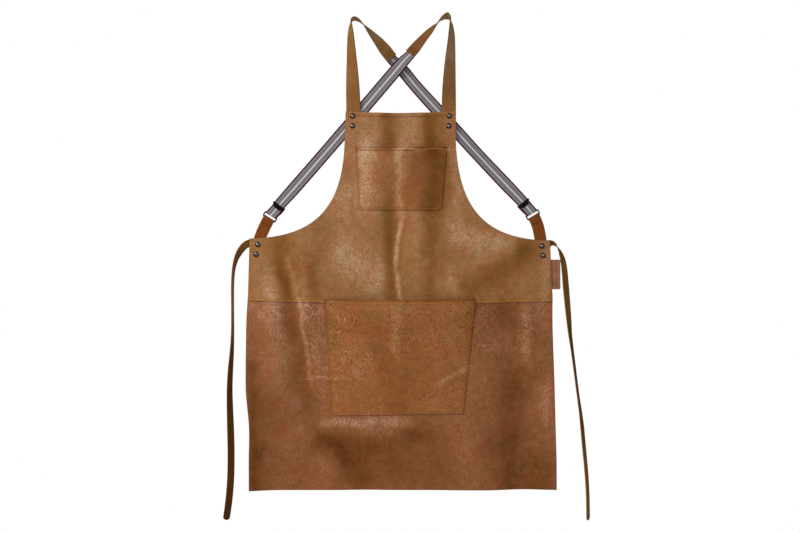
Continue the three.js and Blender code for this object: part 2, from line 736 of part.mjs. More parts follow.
const patchOffset = hideThick + seat;
const chestDepth = (x, z) => {
  const free = pocketFreedom(chestPocketCut, x, z);
  return hideDepth(x, z) * (1 - free) - patchOffset - chestPocketBelly * free;
};
const chestPatch = cutFromHide(pocketOutline(chestPocketCut), curveSteps.patch, hideThick, chestDepth);
addPiece('chest_pocket', chestPatch, leather.bib);

const overSeam = (z) => skirtOffset * smooth(lapRamp.low, lapRamp.high, z);
const skirtPocketDepth = (x, z) => {
  const free = pocketFreedom(skirtPocketCut, x, z);
  return hideDepth(x, z) * (1 - free) + skirtOffset - patchOffset - overSeam(z) - skirtPocketBelly * free;
};
const skirtPatch = cutFromHide(pocketOutline(skirtPocketCut), curveSteps.patch, hideThick, skirtPocketDepth);
addPiece('skirt_pocket', skirtPatch, leather.skirt);

const labelOffset = (hideThick + labelThick) / 2 + seat;
const labelDepth = (x, z) => hideDepth(x, z) + labelOffset;
const labelWide = labelCut.right - labelCut.left;
const labelTall = labelCut.top - labelCut.foot;
const labelOutline = roundedBox(labelCut.left, labelCut.foot, labelWide, labelTall, labelCut.corner);
addPiece('side_label', cutFromHide(labelOutline, curveSteps.label, labelThick, labelDepth), leather.label);

// Straps, ties and fittings, left and right

for (const side of ['left', 'right']) {
  addPiece(`shoulder_strap_${side}`, shoulderStrap(side), leather.strap);
  addPiece(`elastic_strap_${side}`, elasticStrap(side), webbing);
  addPiece(`waist_tab_${side}`, waistTab(side), leather.tab);
  addPiece(`waist_tie_${side}`, waistTie(side), leather.tie);

  const { slider, ring } = fittings[side];
  const sliderPiece = addPiece(`slider_${side}`, sliderGeometry(), blackSteel);
  sliderPiece.position.set(slider.x, sliderDepth, slider.z);
  sliderPiece.rotation.y = -THREE.MathUtils.degToRad(slider.slope);
  const ringPiece = addPiece(`ring_${side}`, ringGeometry(), blackSteel);
  ringPiece.position.set(ring.x, ringDepth, ring.z);
  ringPiece.rotation.y = -THREE.MathUtils.degToRad(ring.slope);
}

for (const [name, { x, z, layers }] of Object.entries(rivetPlaces)) {
  const piece = addPiece(`rivet_${name}`, rivetGeometry(layers), gunmetal);
  piece.position.set(x, 0, z);
}

export default apron;
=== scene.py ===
# Leather apron hung by its shoulder loops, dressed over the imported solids
import math

import bpy
import numpy as np
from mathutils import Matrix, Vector, noise


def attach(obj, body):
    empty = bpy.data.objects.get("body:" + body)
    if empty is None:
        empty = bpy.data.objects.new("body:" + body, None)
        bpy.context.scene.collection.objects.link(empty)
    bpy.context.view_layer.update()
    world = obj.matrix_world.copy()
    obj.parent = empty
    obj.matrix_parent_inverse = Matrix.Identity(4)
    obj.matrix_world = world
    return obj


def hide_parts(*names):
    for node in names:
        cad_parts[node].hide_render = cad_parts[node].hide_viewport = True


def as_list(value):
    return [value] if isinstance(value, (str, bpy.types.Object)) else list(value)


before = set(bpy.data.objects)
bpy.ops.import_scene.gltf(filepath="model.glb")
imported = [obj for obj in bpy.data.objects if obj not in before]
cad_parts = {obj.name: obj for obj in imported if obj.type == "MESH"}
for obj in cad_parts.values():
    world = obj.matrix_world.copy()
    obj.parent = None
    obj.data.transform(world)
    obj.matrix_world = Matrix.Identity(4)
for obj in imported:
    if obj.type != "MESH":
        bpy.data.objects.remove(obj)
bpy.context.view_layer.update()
mm = 0.001
print("frame loaded")


# Studio
studio = {
    "distance": 3.0,       # camera to the plane of the apron, m
    "height": -0.520,      # camera height, m
    "shownWidth": 1.680,   # what the frame spans in that plane, m
    "sensor": 36.0,
    "floor": -1.60,
    "floorSize": 5.0,
    "floorPaint": "ece9e4",
    "backdrop": "ffffff",
    "ambient": 0.16,
    "lights": [
        # name, place, size m, power W, colour
        ("key", (-2.2, -1.75, 0.95), 1.3, 80.0, "fff4e6"),
        ("sheen", (-0.95, -2.7, 0.35), 0.8, 16.0, "fffaf4"),
        ("front", (0.95, -2.75, 0.15), 1.0, 20.0, "fbf8ff"),
        ("back", (0.0, 2.8, -0.45), 2.0, 75.0, "fffaf2"),
    ],
}


def toLinear(hexColour):
    channels = [int(hexColour[i:i + 2], 16) / 255 for i in (0, 2, 4)]
    linear = [c / 12.92 if c <= 0.04045 else ((c + 0.055) / 1.055) ** 2.4 for c in channels]
    return (*linear, 1.0)


def addNode(tree, kind, inputs=(), **settings):
    # inputs go in order or by name: a node or a socket is linked, anything else is set as a value
    node = tree.nodes.new("ShaderNode" + kind)
    for key, value in settings.items():
        setattr(node, key, value)
    for socket, value in inputs.items() if isinstance(inputs, dict) else enumerate(inputs):
        if isinstance(value, bpy.types.Node):
            value = value.outputs[0]
        if isinstance(value, bpy.types.NodeSocket):
            tree.links.new(value, node.inputs[socket])
        else:
            node.inputs[socket].default_value = value
    return node


def freshTree(owner):
    owner.use_nodes = True
    owner.node_tree.nodes.clear()
    return owner.node_tree


def deselectAll():
    if bpy.context.object and bpy.context.object.mode != "OBJECT":
        bpy.ops.object.mode_set(mode="OBJECT")
    bpy.ops.object.select_all(action="DESELECT")


def setUpStudio():
    scene = bpy.context.scene
    scene.view_settings.view_transform = "Standard"
    deselectAll()
    bpy.ops.object.camera_add(
        location=(0, -studio["distance"], studio["height"]), rotation=(math.pi / 2, 0, 0))
    camera = bpy.context.object
    camera.data.sensor_width = studio["sensor"]
    camera.data.lens = studio["sensor"] * studio["distance"] / studio["shownWidth"]
    scene.camera = camera

    target = Vector((0, 0, studio["height"]))
    for name, place, size, power, colour in studio["lights"]:
        bpy.ops.object.light_add(type="AREA", location=place)
        light = bpy.context.object
        light.name = name
        light.rotation_euler = (target - Vector(place)).to_track_quat("-Z", "Y").to_euler()
        light.data.size = size
        light.data.energy = power
        light.data.color = toLinear(colour)[:3]
        light.visible_camera = False

    world = bpy.data.worlds.new("studio")
    scene.world = world
    tree = freshTree(world)
    white = toLinear(studio["backdrop"])
    light = addNode(tree, "Background", {"Color": white, "Strength": studio["ambient"]})
    seen = addNode(tree, "Background", {"Color": white, "Strength": 1.0})
    direct = addNode(tree, "LightPath").outputs["Is Camera Ray"]
    both = addNode(tree, "MixShader", (direct, light, seen))
    addNode(tree, "OutputWorld", {"Surface": both})

    # painted board, matt and pale
    bpy.ops.mesh.primitive_plane_add(size=studio["floorSize"], location=(0, 0, studio["floor"]))
    floor = bpy.context.object
    floor.name = "studio_floor"
    paint = bpy.data.materials.new("pale matt paint")
    tree = freshTree(paint)
    coat = addNode(tree, "BsdfPrincipled", {"Base Color": toLinear(studio["floorPaint"]), "Roughness": 0.8})
    addNode(tree, "OutputMaterial", {"Surface": coat})
    floor.data.materials.append(paint)


setUpStudio()
print("studio ready")


# Leather: waxed pull-up hide. It pales where it is rolled or rubbed, carries painted light and shade on its
# folds, shows a speckled grain and short wrinkles there with painted glints, leans to red or olive in clouds,
# and has a napped flesh side.
# Tones run from deep to rubbed; on the broad hides the palest is also whitened as a painted sheen. Lean is
# the main direction of the wrinkles, in degrees.
broadHide = {"rough": (0.36, 0.58), "gloss": (0.12, 0.55), "mottle": 0.34, "grainMm": 0.20,
             "wrinkleMm": 4.0}
narrowCut = {"rough": (0.56, 0.70), "gloss": (0.06, 0.2), "mottle": 0.20, "speck": 0.14, "grainMm": 0.03,
             "lean": 10, "wrinkle": 0.06, "wrinkleMm": 4.0, "creaseMm": 0.02}
hideLooks = {
    "bib": {**broadHide, "tones": ("5e380f", "7c5120", "906436", "b6967e"), "rough": (0.36, 0.62),
            "cloud": 0.26, "speck": 0.44, "lean": 70, "wrinkle": 0.10, "creaseMm": 0.08},
    "chest": {**broadHide, "tones": ("542e0a", "7a4a1a", "8e5a2a", "ae9274"), "rough": (0.32, 0.58),
              "cloud": 0.20, "speck": 0.50, "grainMm": 0.22, "lean": 20, "wrinkle": 0.08, "creaseMm": 0.06},
    "skirt": {**broadHide, "tones": ("4e2a0a", "77471f", "8c5830", "b08c78"), "cloud": 0.28, "speck": 0.42,
              "lean": -28, "wrinkle": 0.20, "wrinkleMm": 3.2, "creaseMm": 0.16},
    "pocket": {**broadHide, "tones": ("532c0a", "7f4b1c", "945e2a", "b48c68"), "cloud": 0.22,
               "mottle": 0.30, "speck": 0.44, "lean": 48, "wrinkle": 0.25, "wrinkleMm": 3.2,
               "creaseMm": 0.18},
    "strap": {**narrowCut, "tones": ("54361a", "76502a", "866238", "a4825e"), "gloss": (0.08, 0.22),
              "cloud": 0.30},
    "tie": {**narrowCut, "tones": ("2f1c08", "50310e", "6e4519", "8c6434"), "cloud": 0.26},
    "tab": {**narrowCut, "tones": ("442206", "62340a", "743f10", "8a5626"), "rough": (0.66, 0.82),
            "cloud": 0.30, "mottle": 0.34, "speck": 0.30, "grainMm": 0.10, "lean": 30, "wrinkle": 0.10,
            "creaseMm": 0.06},
    "label": {**narrowCut, "tones": ("54301e", "7e543c", "90644a", "a47c60"), "rough": (0.48, 0.62),
              "gloss": (0.12, 0.4), "cloud": 0.24, "mottle": 0.26, "speck": 0.20, "grainMm": 0.06,
              "wrinkle": 0.08, "creaseMm": 0.04},
}
hidePattern = {
    # size mm, detail and roughness. Real grain is near 1 mm and real wrinkles lie near 2 mm apart;
    # both are drawn coarser, so that they show at this distance
    "noises": {"cloud": (70, 3.0, 0.5), "mottle": (12, 6.0, 0.7), "speck": (2.3, 2.0, 0.6),
               "swirl": (42, 2.0, 0.5), "hue": (42, 4.0, 0.6)},
    "bend": 0.05, "drawnOut": (1, 0.3, 0.5), "lineWidth": 0.07, "lineMean": 0.4,
    # the grain's share is read off rubbing and painted light together, and it scales the painted glints on
    # the grain
    "grainAndPaintedGlint": (-0.14, 0.25, 0.5, 2.0),  # rubbing from and to, and how much the grain shows there
    "dulled": (0.2, 0.8), "glinting": (0.25, 0.75),
    "toneStops": (0.08, 0.40, 0.62, 0.92),
    "tints": [(0.36, "ffeee0"), (0.5, "ffffff"), (0.64, "f2f8e8")],
    "burnishMm": 2.0, "burnish": 0.15,
}
fleshNap = {"cloudMm": 55, "fibreMm": 1.8, "depthMm": 0.5, "stops": (0.3, 0.72)}
threadTwist = {"plyMm": 6.0, "depthMm": 0.15}
metalMarks = {"sizeMm": 2.5, "stops": (0.42, 0.78), "handled": (0.3, 0.75), "depthMm": 0.05,
              "crownWearAndHighlight": (0.22, 0.5)}


def perMetre(sizeMm):
    return 1 / (sizeMm * mm)


def rampStops(ramp, rows):
    stops = ramp.color_ramp.elements
    while len(stops) < len(rows):
        stops.new(0.5)
    for stop, (at, colour) in zip(stops, rows):
        stop.position = at
        stop.color = toLinear(colour)


def newMaterial(name):
    material = bpy.data.materials.new(name)
    tree = freshTree(material)
    return material, tree, addNode(tree, "TexCoord").outputs["Object"]


def grainLeather(look):
    kind = hideLooks[look]
    material, tree, place = newMaterial(look + " pull-up leather")
    patinaAndPaintedLight, roll, crumple, fromEdge = (addNode(tree, "Attribute", attribute_name=name).outputs["Fac"]
                                       for name in ("patinaAndPaintedLight", "roll", "crumple", "fromEdge"))
    noises = {name: addNode(tree, "TexNoise", {"Vector": place, "Scale": perMetre(size), "Detail": detail,
                                               "Roughness": rough})
              for name, (size, detail, rough) in hidePattern["noises"].items()}
    # wrinkles: the level lines of a drawn-out noise, bent so that they change direction over the hide
    bent = addNode(tree, "VectorMath", (noises["swirl"].outputs["Color"], (hidePattern["bend"],) * 3, place),
                   operation="MULTIPLY_ADD")
    slant = addNode(tree, "Mapping", {"Vector": bent, "Rotation": (0, math.radians(kind["lean"]), 0),
                                      "Scale": hidePattern["drawnOut"]})
    level = addNode(tree, "TexNoise", {"Vector": slant, "Scale": perMetre(kind["wrinkleMm"]),
                                       "Detail": 3.0, "Roughness": 0.6})
    offLine = addNode(tree, "Math", (level, 0.5), operation="SUBTRACT")
    apart = addNode(tree, "Math", (offLine,), operation="ABSOLUTE")
    wrinkle = addNode(tree, "MapRange", (apart, 0.0, hidePattern["lineWidth"], 1.0, 0.0))
    # tone runs from 0, deep, to 1, rubbed pale; painted light and shade on the folds move it as well
    ground = 0.5 - (kind["cloud"] + kind["mottle"]) / 2
    for name in ("cloud", "mottle"):
        ground = addNode(tree, "Math", (noises[name], kind[name], ground), operation="MULTIPLY_ADD")
    rubbedAndPaintedLight = addNode(tree, "Math", (patinaAndPaintedLight, roll), operation="ADD")
    wide = addNode(tree, "Math", (ground, rubbedAndPaintedLight), operation="ADD")
    # specks and wrinkle lines are grain tone with painted glints on it
    bySpeck = addNode(tree, "Math", (noises["speck"], kind["speck"], -kind["speck"] / 2),
                      operation="MULTIPLY_ADD")
    byWrinkle = addNode(tree, "Math", (wrinkle, kind["wrinkle"], -kind["wrinkle"] * hidePattern["lineMean"]),
                        operation="MULTIPLY_ADD")
    fine = addNode(tree, "Math", (byWrinkle, crumple, bySpeck), operation="MULTIPLY_ADD")
    # grain, with its painted glints, shows most where the hide is rubbed and where painted light lies on it
    grainAndPaintedGlint = addNode(tree, "MapRange", (rubbedAndPaintedLight, *hidePattern["grainAndPaintedGlint"]))
    tone = addNode(tree, "Math", (fine, grainAndPaintedGlint, wide), operation="MULTIPLY_ADD", use_clamp=True)
    ramp = addNode(tree, "ValToRGB", (tone,))
    rampStops(ramp, list(zip(hidePattern["toneStops"], kind["tones"])))
    tint = addNode(tree, "ValToRGB", (noises["hue"],))
    rampStops(tint, hidePattern["tints"])
    tinted = addNode(tree, "Mix", {0: 1.0, 6: ramp, 7: tint}, data_type="RGBA", blend_type="MULTIPLY")
    # cut edges are burnished darker
    burnish = addNode(tree, "MapRange", (fromEdge, 0.0, hidePattern["burnishMm"] * mm,
                                         hidePattern["burnish"], 0.0))
    colour = addNode(tree, "Mix", {0: burnish, 6: tinted.outputs[2], 7: toLinear(kind["tones"][0])},
                     data_type="RGBA")
    # deep places are waxy and dull, rubbed ones glint
    rough = addNode(tree, "MapRange", (tone, *hidePattern["dulled"], *kind["rough"][::-1]))
    gloss = addNode(tree, "MapRange", (tone, *hidePattern["glinting"], *kind["gloss"]))
    grainBump = addNode(tree, "Bump", {"Height": noises["speck"], "Strength": 1.0,
                                       "Distance": kind["grainMm"] * 2 * mm})
    swell = addNode(tree, "Math", (wrinkle, crumple), operation="MULTIPLY")
    bump = addNode(tree, "Bump", {"Height": swell, "Normal": grainBump, "Strength": 1.0,
                                  "Distance": kind["creaseMm"] * mm})
    skin = addNode(tree, "BsdfPrincipled", {"Base Color": colour.outputs[2], "Roughness": rough, "IOR": 1.5,
                                            "Specular IOR Level": gloss, "Normal": bump})
    addNode(tree, "OutputMaterial", {"Surface": skin})
    return material


def fleshSide(name, dark, pale):
    # suede back of the hide: matt nap with cloudy shade
    material, tree, place = newMaterial(name)
    nap = addNode(tree, "TexNoise", {"Vector": place, "Scale": perMetre(fleshNap["cloudMm"]), "Detail": 7.0,
                                     "Roughness": 0.62})
    # a tie's nap takes the tie's tone, painted light and shade included
    wornAndPaintedLight = addNode(tree, "Attribute", attribute_name="napWearAndPaintedLight").outputs["Fac"]
    tone = addNode(tree, "Math", (nap, wornAndPaintedLight), operation="ADD")
    ramp = addNode(tree, "ValToRGB", (tone,))
    rampStops(ramp, list(zip(fleshNap["stops"], (dark, pale))))
    fibre = addNode(tree, "TexNoise", {"Vector": place, "Scale": perMetre(fleshNap["fibreMm"]),
                                       "Detail": 3.0})
    bump = addNode(tree, "Bump", {"Height": fibre, "Strength": 0.6, "Distance": fleshNap["depthMm"] * mm})
    skin = addNode(tree, "BsdfPrincipled", {"Base Color": ramp, "Roughness": 0.92,
                                            "Specular IOR Level": 0.1, "Normal": bump})
    addNode(tree, "OutputMaterial", {"Surface": skin})
    return material


grain = {look: grainLeather(look) for look in hideLooks}
flesh = {
    "hide": fleshSide("suede hide back", "6b4a28", "987044"),
    "strap": fleshSide("suede strap back", "745430", "9a7646"),
    "tie": fleshSide("suede tie back", "4e3414", "7e5828"),
    "edge": fleshSide("raw cut edge", "6a421c", "96693a"),
    "waxed": fleshSide("waxed cut edge", "4a2c10", "70481f"),
}


def waxedThread(name, colour):
    # bonded thread: two plies show as a fine twist across the stitch
    material, tree, place = newMaterial(name)
    ply = addNode(tree, "TexWave", {"Vector": place, "Scale": perMetre(threadTwist["plyMm"]),
                                    "Distortion": 0.6}, bands_direction="DIAGONAL").outputs["Fac"]
    bump = addNode(tree, "Bump", {"Height": ply, "Strength": 0.5, "Distance": threadTwist["depthMm"] * mm})
    skin = addNode(tree, "BsdfPrincipled", {"Base Color": toLinear(colour), "Roughness": 0.55,
                                            "Normal": bump})
    addNode(tree, "OutputMaterial", {"Surface": skin})
    return material


thread = {
    "ochre": waxedThread("ochre bonded thread", "c08a35"),
    "tan": waxedThread("tan bonded thread", "a06a30"),
    "brown": waxedThread("brown bonded thread", "6a3d18"),
}

# Woven elastic: maroon selvedge, a fine pale line inside it, grey ribs and a pale middle stripe.
# Each row is the distance from the middle, mm, and the colour up to there.
elasticStripes = [
    (0.9, "d6ced1"), (2.2, "94959a"), (3.2, "5e6166"), (4.2, "83868b"), (5.0, "4a4d52"), (6.0, "83868b"),
    (6.8, "4a4d52"), (9.0, "787b80"), (10.0, "a0909a"), (13.6, "3c0418"),
]
# The weft is drawn a little coarser than the real 1.2 mm
elasticYarn = {"weftMm": 1.8, "warpMm": 1.2, "shade": (0.82, 1.12), "depthMm": 0.18}


def wovenElastic():
    # ribbed cloth: yarns cross in small bumps, and the stripes run along the band
    material = bpy.data.materials.new("striped woven elastic")
    tree = freshTree(material)
    across, along = (addNode(tree, "Attribute", attribute_name=name).outputs["Fac"]
                     for name in ("across", "along"))
    halfWidth = elasticStripes[-1][0]
    fromMiddle = addNode(tree, "Math", (across,), operation="ABSOLUTE")
    share = addNode(tree, "MapRange", (fromMiddle, 0.0, halfWidth * mm, 0.0, 1.0))
    ramp = addNode(tree, "ValToRGB", (share,))
    ramp.color_ramp.interpolation = "CONSTANT"
    starts = [0.0] + [end / halfWidth for end, colour in elasticStripes[:-1]]
    rampStops(ramp, [(start, colour) for start, (end, colour) in zip(starts, elasticStripes)])
    yarns = []
    for source, spacing in ((along, elasticYarn["weftMm"]), (across, elasticYarn["warpMm"])):
        phase = addNode(tree, "Math", (source, 2 * math.pi * perMetre(spacing)), operation="MULTIPLY")
        yarns.append(addNode(tree, "Math", (phase,), operation="SINE"))
    weave = addNode(tree, "Math", yarns, operation="ADD")
    shade = addNode(tree, "MapRange", (weave, -2.0, 2.0, *elasticYarn["shade"]))
    colour = addNode(tree, "VectorMath", (ramp, shade), operation="MULTIPLY")
    bump = addNode(tree, "Bump", {"Height": weave, "Strength": 0.6, "Distance": elasticYarn["depthMm"] * mm})
    cloth = addNode(tree, "BsdfPrincipled", {"Base Color": colour, "Roughness": 0.85,
                                             "Specular IOR Level": 0.2, "Normal": bump})
    addNode(tree, "OutputMaterial", {"Surface": cloth})
    return material


elasticWeave = wovenElastic()


def lacqueredMetal(name, colour, pale, rough, metallic, shine, crownWearAndHighlight=None):
    # plated metal: mirror-dark with faint handling marks, paler where it is worn, and paler on the crown,
    # which is rubbed plating and a painted highlight for the lamps' reflection
    material, tree, place = newMaterial(name)
    marks = addNode(tree, "TexNoise", {"Vector": place, "Scale": perMetre(metalMarks["sizeMm"]),
                                       "Detail": 5.0, "Roughness": 0.65})
    plating = addNode(tree, "ValToRGB", (marks,))
    rampStops(plating, list(zip(metalMarks["stops"], (colour, pale))))
    if crownWearAndHighlight:
        height = addNode(tree, "Attribute", attribute_name="crownWearAndHighlight").outputs["Fac"]
        rubbedAndPaintedLight = addNode(tree, "MapRange", (height, *metalMarks["crownWearAndHighlight"], 0.0, 1.0))
        plating = addNode(tree, "Mix", {0: rubbedAndPaintedLight, 6: plating, 7: toLinear(crownWearAndHighlight)},
                          data_type="RGBA").outputs[2]
    handled = addNode(tree, "MapRange", (marks, *metalMarks["handled"], *rough))
    bump = addNode(tree, "Bump", {"Height": marks, "Strength": 0.15, "Distance": metalMarks["depthMm"] * mm})
    plate = addNode(tree, "BsdfPrincipled", {"Base Color": plating, "Metallic": metallic,
                                             "Roughness": handled, "Specular IOR Level": shine,
                                             "Normal": bump})
    addNode(tree, "OutputMaterial", {"Surface": plate})
    return material


blackSteel = lacqueredMetal("black lacquered steel", "050505", "0f0f10", (0.4, 0.55), 0.0, 0.05)
# the rivets' pale crown colour is a painted highlight as well as rubbed plating
gunmetal = lacqueredMetal("gunmetal plated brass", "1c1917", "2a2623", (0.2, 0.3), 1.0, 0.5, "6c6660")
print("materials ready")


# Shared mesh work
def linkObject(name, mesh):
    piece = bpy.data.objects.new(name, mesh)
    bpy.context.scene.collection.objects.link(piece)
    return piece


def setAttribute(mesh, name, values):
    attribute = mesh.attributes.new(name, "FLOAT", "POINT")
    attribute.data.foreach_set("value", np.asarray(values, np.float32).ravel())


def pick(piece):
    deselectAll()
    bpy.context.view_layer.objects.active = piece
    piece.select_set(True)


def applyModifiers(piece):
    pick(piece)
    for modifier in list(piece.modifiers):
        bpy.ops.object.modifier_apply(modifier=modifier.name)


def smoothShade(piece, angle=42):
    pick(piece)
    bpy.ops.object.shade_smooth_by_angle(angle=math.radians(angle))


def faceOutwards(piece):
    pick(piece)
    bpy.ops.object.mode_set(mode="EDIT")
    bpy.ops.mesh.select_all(action="SELECT")
    bpy.ops.mesh.normals_make_consistent(inside=False)
    bpy.ops.object.mode_set(mode="OBJECT")


def standFor(piece, slotName, *nodes):
    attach(piece, "root")
    if nodes:
        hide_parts(*nodes)
    return piece


def bezier(points, steps):
    t = np.linspace(0, 1, steps)[:, None]
    a, b, c, d = (np.array(p, float) for p in points)
    return (1 - t) ** 3 * a + 3 * t * (1 - t) ** 2 * b + 3 * t ** 2 * (1 - t) * c + t ** 3 * d


def splinePoints(points, steps):
    # an even curve through every point, so many steps between two of them
    points = [np.array(p, float) for p in points]
    padded = [2 * points[0] - points[1], *points, 2 * points[-1] - points[-2]]
    made = []
    for i in range(len(points) - 1):
        p0, p1, p2, p3 = padded[i:i + 4]
        knots = [0.0]
        for a, b in ((p0, p1), (p1, p2), (p2, p3)):
            knots.append(knots[-1] + max(np.linalg.norm(b - a), 1e-6) ** 0.5)
        k0, k1, k2, k3 = knots
        for t in np.linspace(k1, k2, steps, endpoint=False):
            a1 = ((k1 - t) * p0 + (t - k0) * p1) / (k1 - k0)
            a2 = ((k2 - t) * p1 + (t - k1) * p2) / (k2 - k1)
            a3 = ((k3 - t) * p2 + (t - k2) * p3) / (k3 - k2)
            b1 = ((k2 - t) * a1 + (t - k0) * a2) / (k2 - k0)
            b2 = ((k3 - t) * a2 + (t - k1) * a3) / (k3 - k1)
            made.append(((k2 - t) * b1 + (t - k1) * b2) / (k2 - k1))
    made.append(points[-1])
    return np.array(made)


def unit(rows):
    return rows / np.linalg.norm(rows, axis=-1, keepdims=True)


def runAlong(points):
    return np.concatenate([[0], np.cumsum(np.linalg.norm(np.diff(points, axis=0), axis=1))])


def atRun(at, run, rows):
    # the rows that go with a line, read at these lengths along it
    return np.stack([np.interp(at, run, rows[:, i]) for i in range(3)], -1)


# Bands: straps, elastics, tabs and ties are flat bands along their routes
def stationsAlong(rows):
    # rows hold x, y, z and the angle of the band's width out of the front plane
    points = [np.array(row[:3], float) for row in rows]
    made = []
    for i, row in enumerate(rows):
        along = unit(points[min(i + 1, len(rows) - 1)] - points[max(i - 1, 0)])
        flat = unit(np.array([along[2], 0, -along[0]]))
        turn = math.radians(row[3])
        across = flat * math.cos(turn) + np.array([0, math.sin(turn), 0])
        made.append((points[i], across, along))
    return made


def bandSections(stations, steps):
    centres = splinePoints([station[0] for station in stations], steps)
    at = np.linspace(0, len(stations) - 1, len(centres))
    across = atRun(at, range(len(stations)), np.array([station[1] for station in stations]))
    along = unit(np.gradient(centres, axis=0))
    across = unit(across - along * np.sum(across * along, -1, keepdims=True))
    return centres, across, np.cross(across, along), runAlong(centres)


def bandPiece(name, stations, kind, materials, tone=None, pinch=None):
    centres, across, outward, run = bandSections(stations, kind["steps"])
    half, thick, soft = kind["width"] / 2, kind["thick"] / 2, kind["soft"]
    columns = np.linspace(-half + soft, half - soft, kind["columns"])
    corner = [(math.sin(a), math.cos(a)) for a in np.radians([30, 60, 90, 120, 150])]
    # side, face and zone of each point round the band: 0 is the grain side, 1 the flesh side, 2 the edge
    profile = [(s, thick, 0) for s in columns]
    profile += [(half - soft + soft * c, thick * d, 2) for c, d in corner]
    profile += [(s, -thick, 1) for s in columns[::-1]]
    profile += [(-half + soft - soft * c, -thick * d, 2) for c, d in corner]
    sides, faces, zone = np.array(profile).T
    share = np.ones(len(run))
    if pinch is not None:
        share = np.interp(np.linspace(0, len(pinch) - 1, len(run)), range(len(pinch)), pinch)
    if kind.get("endRound"):
        left = np.clip((run[-1] - run) / kind["endRound"], 0, 1)
        share = np.maximum(np.sqrt(1 - (1 - left) ** 2), kind["endShare"])
    points = (centres[:, None] + across[:, None] * (sides[None, :, None] * share[:, None, None])
              + outward[:, None] * faces[None, :, None])
    count, around = len(run), len(profile)
    index = np.arange(count * around).reshape(count, around)
    beside = np.roll(index, -1, 1)
    quads = np.stack([index[:-1], beside[:-1], beside[1:], index[1:]], -1).reshape(-1, 4).tolist()
    quads += [index[0].tolist(), index[-1, ::-1].tolist()]
    zones = np.tile(np.maximum(zone, np.roll(zone, -1)), count - 1).astype(int).tolist() + [2, 2]
    mesh = bpy.data.meshes.new(name)
    mesh.from_pydata((points.reshape(-1, 3) * mm).tolist(), [], quads)
    mesh.polygons.foreach_set("material_index", zones)
    wide = np.tile(sides, (count, 1))
    setAttribute(mesh, "across", wide * mm)
    setAttribute(mesh, "along", np.tile(run[:, None], (1, around)) * mm)
    setAttribute(mesh, "fromEdge", (half - np.abs(wide)) * mm)
    if tone is not None:
        # a band's tone holds its wear and, on straps and ties, painted light and shade
        wornAndPaintedLight = np.tile(tone(run)[:, None], (1, around))
        setAttribute(mesh, "patinaAndPaintedLight", wornAndPaintedLight)
        setAttribute(mesh, "napWearAndPaintedLight", wornAndPaintedLight * kind.get("napWearAndPaintedLight", 0))
    for material in materials:
        mesh.materials.append(material)
    piece = linkObject(name, mesh)
    faceOutwards(piece)
    smoothShade(piece)
    return piece


# Waist ties: tail behind the waist corner, out past the edge and down to the free end
tie = {
    "width": 15.5, "thick": 2.0, "soft": 0.7, "columns": 7, "steps": 8, "endRound": 5,
    "endShare": 0.3, "napWearAndPaintedLight": 1.0,
    "routes": {
        "left": [
            (-279, 6.7, -480, 0), (-298.6, 6.7, -474, 0), (-312.8, 6.7, -470, -2), (-325.3, 8, -475, -12),
            (-336.2, 9, -487, -34), (-344.4, 9.6, -502.5, -57), (-349.4, 10, -520, -70),
            (-351.9, 10, -541, -75), (-352.8, 10, -568, -76), (-352.6, 9.8, -612, -78),
            (-352.6, 9.4, -661, -75), (-354.2, 9, -699, -66), (-357, 8.6, -737, -54),
            (-358.7, 8.2, -779, -47), (-358, 7.8, -821, -38), (-356.6, 7.4, -863, -28),
            (-355.6, 7, -905, -26), (-355.6, 6.6, -939, -25), (-356.6, 6.2, -972, -24),
            (-359.2, 5.8, -1004, -24), (-362.4, 5.4, -1031, -27), (-365.8, 5, -1053, -30),
        ],
        "right": [
            (279, 6.7, -483, 0), (297.8, 6.7, -477, 0), (312.4, 6.7, -472.3, 0), (322.8, 8.4, -472, 62),
            (332.6, 9.6, -481.3, 100), (339.4, 10, -494.6, 126), (344, 10, -510.3, 140),
            (346.9, 10, -531, 147), (349.2, 10, -558.6, 150), (352, 9.8, -590, 148), (355, 9.6, -624, 140),
            (358.3, 9.4, -661.5, 124), (362.7, 9.2, -695, 115), (367.1, 9, -728.7, 113),
            (371.3, 8.8, -762.3, 112), (375.7, 8.6, -796, 113), (380.1, 8.4, -827.4, 118),
            (383.7, 8.2, -859, 124), (386.9, 8, -894.6, 124), (390.3, 7.8, -930.3, 123),
            (393.1, 7.6, -964, 123), (394.9, 7.4, -995.4, 122), (395.7, 7.2, -1027, 122),
            (395.9, 7, -1054, 122),
        ],
    },
    "length": {"left": 0.635, "right": 0.637},
    # share of the length, and the tone there: painted light and shade where a tie turns to and from the
    # lamps, and wear
    "wearAndPaintedLight": {"left": ((0.0, 0.15, 0.35, 0.7, 1.0), (0.0, 0.10, 0.0, -0.16, -0.20)),
             "right": ((0.0, 0.2, 0.5, 0.75, 1.0), (0.0, 0.10, -0.12, 0.12, 0.50))},
}


def makeTies():
    for side, route in tie["routes"].items():
        piece = bandPiece("tie_band_" + side, stationsAlong(route), tie,
                          (grain["tie"], flesh["tie"], flesh["edge"]),
                          lambda run: np.interp(run / run[-1], *tie["wearAndPaintedLight"][side]))
        standFor(piece, "tie_leather", "waist_tie_" + side)
        path = [tuple(c * mm for c in row[:3]) for row in route]
        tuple(path[1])


makeTies()
print("ties done")


